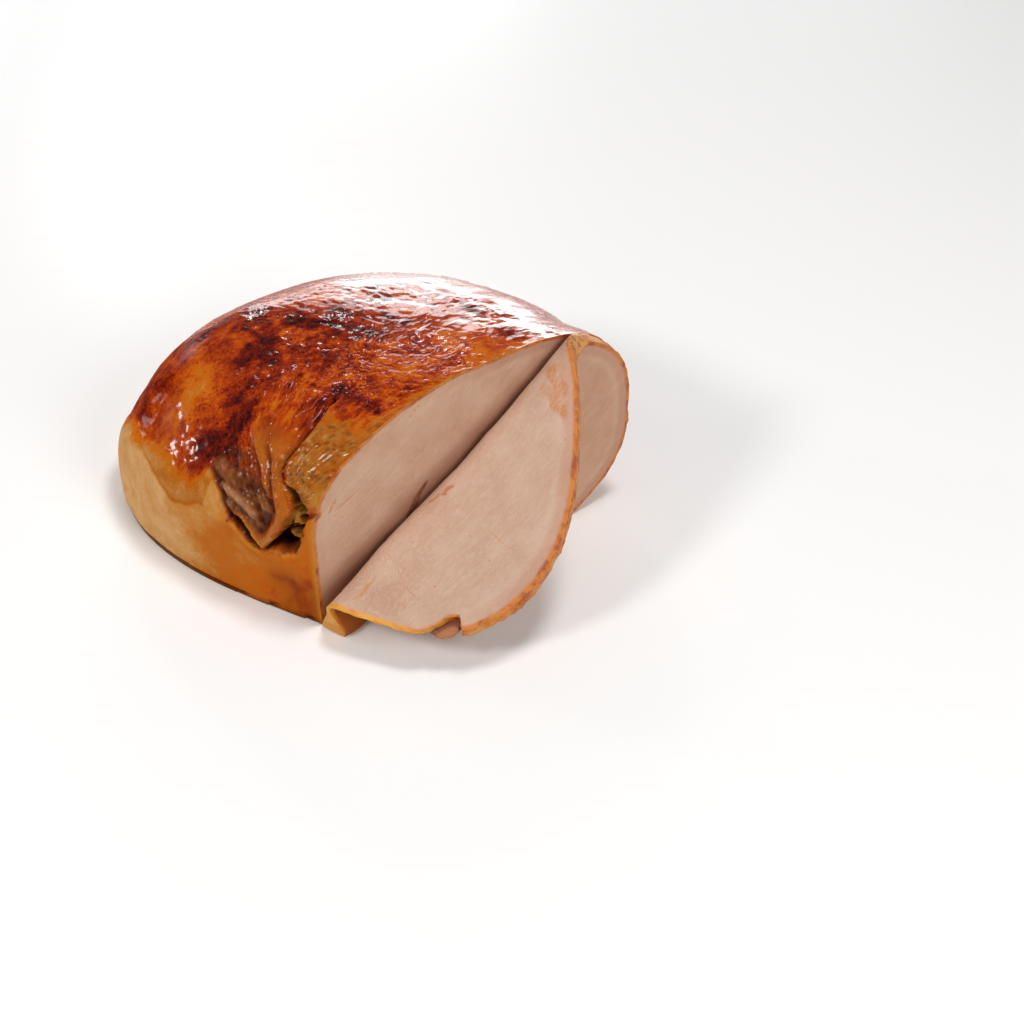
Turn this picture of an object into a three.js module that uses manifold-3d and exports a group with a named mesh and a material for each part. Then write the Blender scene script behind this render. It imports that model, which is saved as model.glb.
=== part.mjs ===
// A boneless roasted turkey breast with its first slice cut and folded forward, in millimetres.
// While it is built, x = 0 is the cut face, y = 0 its near bottom corner and z = 0 the flat base.
// x runs out of the cut face, y across it and z up. The last lines move it onto its own centre.
import * as THREE from "three";
import { mergeVertices } from "three/addons/utils/BufferGeometryUtils.js";
import Module from "manifold-3d";

// The loaf of meat.
const loafLength = 159;
const faceHalfWidth = 84;
const faceHeight = 103;
const waistHeight = 45; // height of the widest line at the cut face
const endWaistHeight = 15; // and at the rounded end
const nearBulge = 13.8; // how far the near side swells halfway along
const farBulge = 16.5; // and the far side
const topFall = 15.5; // the top is this much lower at the rounded end
const topDip = 3;
const sideShift = 30; // the rounded end lies this far towards the near side
const planRoundness = 4.36; // powers of the rounded end in plan and in side view
const sideRoundness = 3.3;
const nearWallDepth = 140; // the near wall drops nearly straight, the far wall turns under
const nearWallFall = 30;
const farWallDepth = 54;

// The ragged pocket beside the cut face, at x and z on the near wall.
const pocketX = -22;
const pocketZ = 50;
const pocketRadius = 17.5;
const pocketDepth = 9;
const pocketSlope = 2.8; // half the width of its sloping sides
const pocketStretch = 2.6; // it is wider by this in one direction
const pocketStretchTo = degrees(25);
const pocketOpening = 9; // width of the crescent that the tucked meat leaves
const pocketOpenTo = degrees(-8);
const pocketOpenWidth = 0.88;
const tuckedRadius = 16.5;
const tornNotchDepth = 8; // what the pocket takes out of the cut face's edge

// The sunk band of bare meat beside the pocket.
const bandDepth = 3.2;
const bandWidth = 9;
const bandStart = -27;
const bandLength = 32;
const bandHeight = 40; // its height at the start
const bandRise = 20;

const lobeLift = 2.2; // the skin gathered above the pocket
const skinStep = 4.2; // the skin lies this much lower than the bare side under its edge
const skinEdgeHeight = 42;
const endSwell = 0.8; // the near side stands out this much at the rounded end
const topFoldHeight = 0.5;
const topSwellHeight = 0.8;
const topSink = 0.2;

// The slice.
const sliceThickness = 8;
const cutGap = 0.3;
const foldStart = [2, 12.2]; // y and z of both ends of the fold, before it is folded
const foldEnd = [138, 90.3];
const foldBow = 5.6; // the fold sags this much between its ends
const foldAngleStart = 106; // degrees
const foldAngleEnd = 109;
const foldRadius = [6.4, 6.2, 8]; // middle of the meat, at the start, halfway and at the end
const flapStretch = [1.25, 1.17, 1.22];
const footSwell = 6; // the start of the fold stands forward this much
const footReach = 30;
const footThickening = 4.5; // and the uncut foot under it is this much thicker
const footRounding = 3.5; // its front corner is rounded by this much
const notchDepth = 10; // the notch in the near edge, and its heights on the flat slice
const notchLow = 49;
const notchHigh = 65;
const notchFade = 13; // how far in from the edge the notch still draws the meat

// The tip of meat that hangs in the slice's notch.
const tipLength = 15;
const tipRadius = 3.8;
const tipAt = [-4, 60]; // y and z on the slice before it is folded

const loafSides = 78;
const loafRings = 46;
const sliceColumns = 44;
const standingRows = 9;
const bendRows = 8;
const flapRows = 9;
const outlinePoints = 240;

const turn = Math.PI * 2;

function degrees(angle) {
  return (angle * Math.PI) / 180;
}

function clamp(value, low, high) {
  return Math.min(Math.max(value, low), high);
}

function smooth(from, to, value) {
  const k = clamp((value - from) / (to - from), 0, 1);
  return k * k * (3 - 2 * k);
}

function bell(value, centre, width) {
  return Math.exp(-(((value - centre) / width) ** 2));
}

function throughThree(values, k) {
  const [start, half, end] = values;
  return start * (1 - k) * (1 - 2 * k) + 4 * half * k * (1 - k) + end * k * (2 * k - 1);
}

// How deep the pocket is at x and z of the near wall, from 0 to 1. The meat that is tucked into it
// leaves a crescent open towards the cut face.
function pocketAt(x, z) {
  const angle = Math.atan2(z - pocketZ, x - pocketX);
  const reach = Math.max(Math.cos((angle - pocketOpenTo) * pocketOpenWidth), 0);
  const away = Math.hypot(x - pocketX, z - pocketZ);
  const outer = pocketRadius + pocketStretch * Math.cos(angle - pocketStretchTo);
  const inner = tuckedRadius - pocketOpening * reach ** 0.7;
  return smooth(outer + pocketSlope, outer - pocketSlope, away) * smooth(inner - pocketSlope, inner + pocketSlope, away);
}

// The sunk band runs back and up from the pocket.
function bandAt(x, z) {
  const along = clamp((bandStart - x) / bandLength, 0, 1);
  const middle = bandHeight + bandRise * along;
  return bell(z, middle, bandWidth) * smooth(-18, -30, x) * smooth(-70, -54, x);
}

// The height of the skin's lower edge on the near wall.
function skinEdge(x) {
  return skinEdgeHeight + 6 * bell(x, -96, 9) - 4 * bell(x, -78, 10);
}

// How far the near wall stands out of the plain loaf.
function nearWallRelief(x, z) {
  const open = pocketAt(x, z);
  const pocket = pocketDepth * open;
  const band = bandDepth * bandAt(x, z) * (1 - open);
  const lobe = lobeLift * bell(x, -12, 12) * bell(z, 74, 9);
  const torn = tornNotchDepth * smooth(-7, -1, x) * smooth(52, 59, z) * smooth(84, 70, z);
  const edge = skinEdge(x);
  const step = skinStep * smooth(-60, -115, x) * smooth(edge - 4, edge + 3, z) * smooth(72, 50, z);
  const swell = endSwell * smooth(-70, -125, x);
  return lobe + swell - step - pocket - band - torn;
}

// Low folds of the skin over the top, running down towards the pocket.
function topRelief(x, y) {
  const across = y * 0.8 - x * 0.6;
  const fold = Math.sin(across * 0.16 + 1.2 * Math.sin(x * 0.05));
  const swell = Math.sin(x * 0.055 + 1) * Math.sin(y * 0.045);
  return topFoldHeight * fold + topSwellHeight * swell - topSink;
}

// A point of the loaf's section. The share runs from 0 at the cut face to 1 at the rounded end.
function sectionPoint(angle, share) {
  const s = clamp(share, 0, 1 - 1e-9);
  const plan = (1 - s ** planRoundness) ** (1 / planRoundness);
  const side = (1 - s ** sideRoundness) ** (1 / sideRoundness);
  const middle = Math.sin(Math.PI * s);
  const near = Math.cos(angle) < 0;
  const above = Math.sin(angle) >= 0;
  const waist = waistHeight + (endWaistHeight - waistHeight) * s;
  const top = faceHeight - topFall * s - topDip * middle;
  const reach = (faceHalfWidth + (near ? nearBulge : farBulge) * middle) * plan;
  const nearDrop = (nearWallDepth - nearWallFall * s) * side;
  const drop = near ? nearDrop : farWallDepth * side;
  const rise = (top - waist) * side;
  const nearPower = above ? 2.12 - 0.3 * Math.min(s * 3, 1) : 2.8;
  const farPower = above ? 3 - 1.6 * Math.min(s, 0.16) : 2.2;
  const power = near ? nearPower : farPower;
  const flat = (Math.abs(Math.cos(angle)) / reach) ** power;
  const upright = (Math.abs(Math.sin(angle)) / (above ? rise : drop)) ** power;
  const radius = (flat + upright) ** (-1 / power);
  return {
    y: faceHalfWidth - sideShift * s + radius * Math.cos(angle),
    z: waist + radius * Math.sin(angle),
  };
}

function loafPoint(angle, share) {
  const x = -loafLength * share;
  const point = sectionPoint(angle, share);
  const nearness = smooth(-0.35, -0.75, Math.cos(angle));
  const upness = smooth(0.35, 0.8, Math.sin(angle)) * smooth(0, 0.06, share);
  const ending = smooth(0.995, 0.9, share);
  const wall = nearness * nearWallRelief(x, point.z);
  const offset = (wall + upness * topRelief(x, point.y)) * ending;
  const y = point.y + offset * Math.cos(angle);
  const z = point.z + offset * Math.sin(angle);
  return [x, y, Math.max(z, 0)];
}

// Angles round the section, closest together on the near wall and widest apart on the base.
function sectionAngles(count) {
  const steps = 720;
  const sums = [0];
  for (let i = 0; i < steps; i += 1) {
    const angle = (turn * (i + 0.5)) / steps;
    const nearWall = 2 * bell(angle, degrees(172), degrees(24));
    const base = 0.62 * bell(angle, degrees(268), degrees(42));
    sums.push(sums[i] + 1 + nearWall - base);
  }
  const angles = [];
  let at = 0;
  for (let i = 0; i < count; i += 1) {
    const wanted = (sums[steps] * i) / count;
    while (sums[at + 1] <= wanted) at += 1;
    const part = (wanted - sums[at]) / (sums[at + 1] - sums[at]);
    angles.push((turn * (at + part)) / steps);
  }
  return angles;
}

// Shares along the loaf: even at first, then closer together round the far end.
function ringShare(k) {
  const evenPart = 0.64;
  const lastEven = 0.52;
  const endPower = 0.526;
  if (k < evenPart) return (lastEven * k) / evenPart;
  const first = Math.asin(lastEven ** (1 / endPower));
  const angle = first + ((Math.PI / 2 - first) * (k - evenPart)) / (1 - evenPart);
  return Math.sin(angle) ** endPower;
}

function geometryOf(points, triangles) {
  const geometry = new THREE.BufferGeometry();
  geometry.setAttribute("position", new THREE.Float32BufferAttribute(points.flat(), 3));
  geometry.setIndex(triangles.flat());
  geometry.computeVertexNormals();
  return geometry;
}

// Rings joined to the next, and both ends closed onto one point.
function closedTube(rings, first, last) {
  const count = rings[0].length;
  const points = rings.flat();
  const firstPoint = points.push(first) - 1;
  const lastPoint = points.push(last) - 1;
  const triangles = [];
  for (let ring = 0; ring + 1 < rings.length; ring += 1) {
    for (let i = 0; i < count; i += 1) {
      const a = ring * count + i;
      const b = ring * count + ((i + 1) % count);
      triangles.push([a, a + count, b]);
      triangles.push([b, a + count, b + count]);
    }
  }
  const lastRing = (rings.length - 1) * count;
  for (let i = 0; i < count; i += 1) {
    const next = (i + 1) % count;
    triangles.push([firstPoint, i, next]);
    triangles.push([lastPoint, lastRing + next, lastRing + i]);
  }
  return geometryOf(points, triangles);
}

function makeLoaf() {
  const angles = sectionAngles(loafSides);
  const rings = [];
  for (let i = 0; i < loafRings; i += 1) {
    const share = ringShare(i / loafRings);
    rings.push(angles.map((angle) => loafPoint(angle, share)));
  }
  const faceCentre = [0, faceHalfWidth, waistHeight];
  const farCentre = [-loafLength, faceHalfWidth - sideShift, endWaistHeight];
  return closedTube(rings, faceCentre, farCentre);
}

// The fold's own directions on the flat slice: along it, and across it towards the flap.
const foldLength = Math.hypot(foldEnd[0] - foldStart[0], foldEnd[1] - foldStart[1]);
const foldAlong = [(foldEnd[0] - foldStart[0]) / foldLength, (foldEnd[1] - foldStart[1]) / foldLength];
const foldAcross = [-foldAlong[1], foldAlong[0]];

function toFold(y, z) {
  const dy = y - foldStart[0];
  const dz = z - foldStart[1];
  return [dy * foldAlong[0] + dz * foldAlong[1], dy * foldAcross[0] + dz * foldAcross[1]];
}

function fromFold(along, across) {
  return [
    foldStart[0] + along * foldAlong[0] + across * foldAcross[0],
    foldStart[1] + along * foldAlong[1] + across * foldAcross[1],
  ];
}

// The notch that the pocket leaves in the slice's edge draws the meat near it inwards.
function notched(y, z) {
  const shape = smooth(notchLow, notchHigh - 3, z) * smooth(notchHigh, notchHigh - 1.8, z);
  return [y + notchDepth * shape * Math.exp(-Math.max(y, 0) / notchFade), z];
}

// A point of the folded slice from its place on the flat slice. The side runs from -1 on the
// face that met the loaf to 1 on the front.
function slicePoint(flatY, flatZ, side) {
  const [notchedY, z] = notched(flatY, flatZ);
  const front = (side + 1) / 2;
  const y = notchedY + footRounding * front * bell(flatY, 0, 5) * bell(flatZ, 0, 9);
  const [along, across] = toFold(y, z);
  const k = clamp(along / foldLength, 0, 1);
  const hinge = -foldBow * Math.sin(Math.PI * k);
  const radius = throughThree(foldRadius, k);
  const angle = degrees(foldAngleStart + (foldAngleEnd - foldAngleStart) * k);
  const past = Math.max(across - hinge, 0);
  const bend = Math.min(past / radius, angle);
  const straight = Math.max(past - radius * angle, 0) * throughThree(flapStretch, k);
  const half = (sliceThickness / 2) * side;
  const swell = footSwell * bell(Math.max(along, 0), 0, footReach) * smooth(-13, 3, across);
  const forward = radius * (1 - Math.cos(bend)) + straight * Math.sin(bend) + half * Math.cos(bend);
  const level = Math.min(across, hinge) + radius * Math.sin(bend) + straight * Math.cos(bend);
  const [movedY, movedZ] = fromFold(along, level - half * Math.sin(bend));
  const foot = footThickening * front * bell(y, 7, 12) * smooth(14, 2, z);
  return [cutGap + sliceThickness / 2 + swell + foot + forward, movedY, Math.max(movedZ, 0)];
}

// The slice's flat outline, measured along and across the fold.
function sliceOutline() {
  const outline = [];
  for (let i = 0; i < outlinePoints; i += 1) {
    const point = sectionPoint((turn * i) / outlinePoints, 0);
    outline.push(toFold(point.y, Math.max(point.z, 0)));
  }
  return outline;
}

// Where a line across the fold enters and leaves the outline.
function outlineSpan(outline, along) {
  let low = Infinity;
  let high = -Infinity;
  for (let i = 0; i < outline.length; i += 1) {
    const [a0, c0] = outline[i];
    const [a1, c1] = outline[(i + 1) % outline.length];
    if (a0 === a1 || (a0 - along) * (a1 - along) > 0) continue;
    const across = c0 + ((c1 - c0) * (along - a0)) / (a1 - a0);
    low = Math.min(low, across);
    high = Math.max(high, across);
  }
  return [low, high];
}

// Levels across the slice at one line: even below the fold, through its bend and over the flap.
function rowLevels(low, high, along) {
  const k = clamp(along / foldLength, 0, 1);
  const hinge = -foldBow * Math.sin(Math.PI * k);
  const arc = throughThree(foldRadius, k) * degrees(foldAngleStart);
  const width = high - low;
  const bendFrom = clamp((hinge - low) / width, 0.1, 0.72);
  const bendTo = clamp((hinge + arc - low) / width, bendFrom + 0.08, 0.88);
  const levels = [];
  for (let row = 0; row < standingRows; row += 1) levels.push((bendFrom * row) / standingRows);
  for (let row = 0; row < bendRows; row += 1) levels.push(bendFrom + ((bendTo - bendFrom) * row) / bendRows);
  for (let row = 0; row <= flapRows; row += 1) levels.push(bendTo + ((1 - bendTo) * row) / flapRows);
  return levels.map((level) => low + width * level);
}

// Rings of points round the slice's thickness, one for each line across the fold.
function makeSlice() {
  const outline = sliceOutline();
  const lows = outline.map((point) => point[0]);
  const first = Math.min(...lows);
  const last = Math.max(...lows);
  const middle = (first + last) / 2;
  const half = (last - first) / 2;
  const rings = [];
  for (let column = 0; column <= sliceColumns; column += 1) {
    const k = (column + 0.35) / (sliceColumns + 0.7);
    const along = middle - half * Math.cos(Math.PI * k);
    const [low, high] = outlineSpan(outline, along);
    const flat = rowLevels(low, high, along).map((level) => fromFold(along, level));
    const front = flat.map(([y, z]) => slicePoint(y, z, 1));
    const back = flat.map(([y, z]) => slicePoint(y, z, -1));
    rings.push([...front, ...back.reverse()]);
  }
  return closedTube(rings, middleOf(rings[0]), middleOf(rings[rings.length - 1]));
}

function middleOf(ring) {
  const sum = [0, 0, 0];
  ring.forEach((point) => point.forEach((value, axis) => (sum[axis] += value / ring.length)));
  return sum;
}

// The rolled tip of meat in the notch, lying along the flap's edge.
function makeTip() {
  const tip = new THREE.CapsuleGeometry(tipRadius, tipLength - 2 * tipRadius, 4, 12);
  const centre = new THREE.Vector3(...slicePoint(tipAt[0], tipAt[1], 0.3));
  const further = new THREE.Vector3(...slicePoint(tipAt[0] + 3, tipAt[1] - 5, 0.3));
  const direction = further.sub(centre).normalize();
  const turned = new THREE.Quaternion().setFromUnitVectors(new THREE.Vector3(0, 1, 0), direction);
  tip.applyQuaternion(turned);
  tip.translate(centre.x, centre.y, centre.z);
  return tip;
}

const wasm = await Module();
wasm.setup();

function toManifold(geometry) {
  const plain = geometry.clone();
  plain.deleteAttribute("normal");
  plain.deleteAttribute("uv");
  const merged = mergeVertices(plain, 1e-3);
  return new wasm.Manifold(
    new wasm.Mesh({
      numProp: 3,
      vertProperties: new Float32Array(merged.attributes.position.array),
      triVerts: new Uint32Array(merged.index.array),
    }),
  );
}

function fromManifold(solid) {
  const mesh = solid.getMesh();
  const geometry = new THREE.BufferGeometry();
  geometry.setAttribute("position", new THREE.BufferAttribute(mesh.vertProperties, 3));
  geometry.setIndex(new THREE.BufferAttribute(mesh.triVerts, 1));
  geometry.computeVertexNormals();
  return geometry;
}

const loafGeometry = makeLoaf();
const sliceGeometry = fromManifold(toManifold(makeSlice()).add(toManifold(makeTip())));

const box = new THREE.Box3();
for (const geometry of [loafGeometry, sliceGeometry]) {
  geometry.computeBoundingBox();
  box.union(geometry.boundingBox);
}
const centre = box.getCenter(new THREE.Vector3());
for (const geometry of [loafGeometry, sliceGeometry]) geometry.translate(-centre.x, -centre.y, -box.min.z);

const roastMaterial = new THREE.MeshStandardMaterial({ color: 0xa4561c, roughness: 0.35, metalness: 0 });
const sliceMaterial = new THREE.MeshStandardMaterial({ color: 0xd2a98c, roughness: 0.5, metalness: 0 });

const roast = new THREE.Mesh(loafGeometry, roastMaterial);
roast.name = "roast";
const slice = new THREE.Mesh(sliceGeometry, sliceMaterial);
slice.name = "slice";

const breast = new THREE.Group();
breast.add(roast, slice);
export default breast;
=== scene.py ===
import itertools
import math

import bpy
import bmesh
import numpy as np
from mathutils import Euler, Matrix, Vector


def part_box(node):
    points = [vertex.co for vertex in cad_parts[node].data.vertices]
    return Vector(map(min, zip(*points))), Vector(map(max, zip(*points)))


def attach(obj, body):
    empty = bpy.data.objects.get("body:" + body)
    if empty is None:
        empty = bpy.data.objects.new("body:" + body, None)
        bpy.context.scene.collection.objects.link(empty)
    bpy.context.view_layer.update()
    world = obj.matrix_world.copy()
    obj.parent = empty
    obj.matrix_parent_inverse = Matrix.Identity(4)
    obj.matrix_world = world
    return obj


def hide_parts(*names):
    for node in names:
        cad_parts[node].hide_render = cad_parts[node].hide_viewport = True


# A boneless roasted turkey breast with its first slice cut and folded forward.
# Sizes are in millimetres while a piece is made, with x = 0 on the cut face, y = 0 at its near
# bottom corner and z = 0 on the flat base. place() turns them into metres in the row frame.
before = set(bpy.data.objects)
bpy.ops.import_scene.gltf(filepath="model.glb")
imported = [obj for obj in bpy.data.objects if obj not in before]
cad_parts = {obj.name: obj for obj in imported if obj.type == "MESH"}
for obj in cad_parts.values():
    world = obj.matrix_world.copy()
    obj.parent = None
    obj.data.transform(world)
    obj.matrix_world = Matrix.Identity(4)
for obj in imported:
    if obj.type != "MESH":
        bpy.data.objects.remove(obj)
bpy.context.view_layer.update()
print("frame loaded:", sorted(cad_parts))

loaf = {
    "length": 159,
    "faceHalfWidth": 84,
    "faceHeight": 103,
    "waistHeight": 45,  # height of the widest line at the cut face
    "endWaistHeight": 15,
    "nearBulge": 13.8,
    "farBulge": 16.5,
    "topFall": 15.5,
    "topDip": 3,
    "sideShift": 30,
    "planRoundness": 4.36,
    "sideRoundness": 3.3,
    "nearWallDepth": 140,
    "nearWallFall": 30,
    "farWallDepth": 54,
    # How square the section is on each side, above and below the widest line.
    "nearTopPower": 2.12,
    "nearTopFall": 0.3,
    "nearLowPower": 2.8,
    "farTopPower": 3,
    "farTopFall": 1.6,
    "farLowPower": 2.2,
    "baseCurl": 2.2,  # how far the bottom edge is drawn in
    "rings": 208,
    "columns": 392,
    "faceRings": 26,
    "faceCrowding": 1.6,  # above 1, the rings lie closer at the rim
}
fineSteps = 4001  # steps of the curves from which even spacings are picked

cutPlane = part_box("roast")[1].x
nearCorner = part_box("slice")[1].y - 2 * loaf["faceHalfWidth"] / 1000


def place(points):
    return np.asarray(points) / 1000 + np.array([cutPlane, nearCorner, 0])


def smooth(low, high, value):
    k = np.clip((value - low) / (high - low), 0, 1)
    return k * k * (3 - 2 * k)


def bell(value, centre, width):
    return np.exp(-(((value - centre) / width) ** 2))


def cellNoise(places, size, seed):
    # Smooth lumps about size across, from -1 to 1.
    scaled = places / size
    cell = np.floor(scaled).astype(np.int64)
    part = scaled - cell
    part = part * part * (3 - 2 * part)
    total = np.zeros(places.shape[:-1])
    for corner in itertools.product((0, 1), repeat=3):
        at = cell + np.array(corner)
        mixed = at[..., 0] * 73856093 ^ at[..., 1] * 19349663 ^ at[..., 2] * 83492791 ^ seed * 2654435
        mixed = (mixed ^ (mixed >> 13)) * 1274126177
        value = ((mixed ^ (mixed >> 16)) & 65535) / 32767.5 - 1
        total += value * np.prod(np.where(corner, part, 1 - part), axis=-1)
    return total


def layeredNoise(places, size, seed, layers=3):
    # Lumps of the size with smaller ones on them, each layer half as large and half as strong.
    total = 0
    for layer in range(layers):
        total = total + cellNoise(places, size / 2**layer, seed + layer) * 0.5**layer
    return total


def drawnPlaces(across, along, level):
    # Places for a noise that follows the surface, so that it can be drawn out one way.
    return np.stack([across, along, np.full(across.shape, level)], -1)


def ridges(noise, sharpness=1.5):
    # Thin raised lines, from 0 to 1, where the noise passes through 0.
    return (1 - np.minimum(np.abs(noise) * 1.6, 1)) ** sharpness


def lineDistance(x, over, line):
    # How far each point lies from a line drawn on the skin. It is positive on the line's right.
    best = np.full(x.shape, 1e9)
    side = np.ones(x.shape)
    for (x0, over0), (x1, over1) in zip(line, line[1:]):
        dx = x1 - x0
        dOver = over1 - over0
        k = np.clip(((x - x0) * dx + (over - over0) * dOver) / (dx * dx + dOver * dOver), 0, 1)
        away = np.hypot(x - x0 - k * dx, over - over0 - k * dOver)
        right = (x - x0) * dOver - (over - over0) * dx
        side = np.where(away < best, np.where(right > 0, 1, -1), side)
        best = np.minimum(best, away)
    return best * side


def depthInside(x, over, outline):
    # Distance to a closed outline drawn on the skin, positive inside.
    closed = outline + outline[:1]
    inside = np.zeros(x.shape, bool)
    for (x0, over0), (x1, over1) in zip(closed, closed[1:]):
        crosses = (over0 > over) != (over1 > over)
        inside ^= crosses & (x < (x1 - x0) * (over - over0) / (over1 - over0 + 1e-9) + x0)
    away = np.abs(lineDistance(x, over, closed))
    return np.where(inside, away, -away)


def makeObject(name, points, faces, attributes, materials, faceMaterials=None, sharpFrom=None):
    # Attributes with four values a point are colours. Edges sharper than sharpFrom degrees stay hard.
    mesh = bpy.data.meshes.new(name)
    mesh.from_pydata(np.asarray(place(points)).tolist(), [], faces)
    for label, values in attributes.items():
        values = np.asarray(values, np.float32)
        if values.ndim == 2:
            layer = mesh.attributes.new(label, "FLOAT_COLOR", "POINT")
            layer.data.foreach_set("color", values.ravel())
        else:
            layer = mesh.attributes.new(label, "FLOAT", "POINT")
            layer.data.foreach_set("value", values)
    for material in materials:
        mesh.materials.append(material)
    if faceMaterials is not None:
        mesh.polygons.foreach_set("material_index", np.asarray(faceMaterials, np.int32))
    build = bmesh.new()
    build.from_mesh(mesh)
    bmesh.ops.recalc_face_normals(build, faces=build.faces)
    build.to_mesh(mesh)
    build.free()
    mesh.polygons.foreach_set("use_smooth", np.ones(len(mesh.polygons), bool))
    if sharpFrom is not None:
        mesh.set_sharp_from_angle(angle=math.radians(sharpFrom))
    mesh.update()
    piece = bpy.data.objects.new(name, mesh)
    bpy.context.scene.collection.objects.link(piece)
    return piece


def gridFaces(rows, columns, start=0):
    # Quads between rows of points that each close on themselves.
    row = np.arange(rows - 1)[:, None] * columns + start
    column = np.arange(columns)[None, :]
    following = (column + 1) % columns
    a = row + column
    b = row + following
    return np.stack([a, a + columns, b + columns, b], -1).reshape(-1, 4).tolist()


def capFaces(rowStart, columns, centre):
    # Triangles from a closed row of points to one in its middle.
    return [[rowStart + i, rowStart + (i + 1) % columns, centre] for i in range(columns)]


def sectionPoint(angle, share):
    # The loaf's plain section, y and z, as it is in the solid.
    s = np.clip(share, 0, 1 - 1e-9)
    plan = (1 - s ** loaf["planRoundness"]) ** (1 / loaf["planRoundness"])
    side = (1 - s ** loaf["sideRoundness"]) ** (1 / loaf["sideRoundness"])
    middle = np.sin(np.pi * s)
    near = np.cos(angle) < 0
    above = np.sin(angle) >= 0
    waist = loaf["waistHeight"] + (loaf["endWaistHeight"] - loaf["waistHeight"]) * s
    top = loaf["faceHeight"] - loaf["topFall"] * s - loaf["topDip"] * middle
    bulge = np.where(near, loaf["nearBulge"], loaf["farBulge"])
    reach = (loaf["faceHalfWidth"] + bulge * middle) * plan
    nearDrop = (loaf["nearWallDepth"] - loaf["nearWallFall"] * s) * side
    drop = np.where(near, nearDrop, loaf["farWallDepth"] * side)
    upright = np.where(above, (top - waist) * side, drop)
    nearTop = loaf["nearTopPower"] - loaf["nearTopFall"] * np.minimum(s * 3, 1)
    farTop = loaf["farTopPower"] - loaf["farTopFall"] * np.minimum(s, 0.16)
    nearPower = np.where(above, nearTop, loaf["nearLowPower"])
    farPower = np.where(above, farTop, loaf["farLowPower"])
    power = np.where(near, nearPower, farPower)
    sideways = (np.abs(np.cos(angle)) / reach) ** power
    radius = (sideways + (np.abs(np.sin(angle)) / upright) ** power) ** (-1 / power)
    y = loaf["faceHalfWidth"] - loaf["sideShift"] * s + radius * np.cos(angle)
    return y, waist + radius * np.sin(angle)


def evenly(values, density, count, closed=False):
    # Picks count of the values so that they lie closest where the density is highest.
    steps = (density[1:] + density[:-1]) / 2 * np.diff(values)
    reached = np.concatenate([[0], np.cumsum(steps)])
    wanted = np.linspace(0, reached[-1], count, endpoint=not closed)
    return np.interp(wanted, reached, values)


def loafAngles():
    # From the middle of the base, up the near wall, over the top and down the far wall.
    turned = np.linspace(0, 2 * np.pi, fineSteps)
    angle = 1.5 * np.pi - turned
    y, z = sectionPoint(angle, np.full(angle.shape, 0.25))
    z = np.maximum(z, 0)
    pace = np.hypot(np.gradient(y), np.gradient(z)) / np.gradient(turned)
    degreesUp = np.degrees(turned)
    fine = smooth(58, 64, degreesUp) * smooth(252, 205, degreesUp)
    middle = smooth(175, 150, degreesUp)
    density = pace * (0.17 + fine * (0.75 + 0.6 * middle))
    return 1.5 * np.pi - evenly(turned, density, loaf["columns"], closed=True)


def loafShares():
    # How far along the loaf each ring lies, from 0 at the cut to nearly 1 at the far end.
    fine = np.sin(np.linspace(0, 1, fineSteps) * np.pi / 2)
    depth = (1 - fine ** loaf["sideRoundness"]) ** (1 / loaf["sideRoundness"]) * 75
    way = np.concatenate([[0], np.cumsum(np.hypot(np.diff(fine) * loaf["length"], np.diff(depth)))])
    density = 0.55 + 1.0 * (fine * loaf["length"] < 62)
    picked = evenly(way, density, loaf["rings"] + 1)
    return np.interp(picked, way, fine)[:-1]


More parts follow.
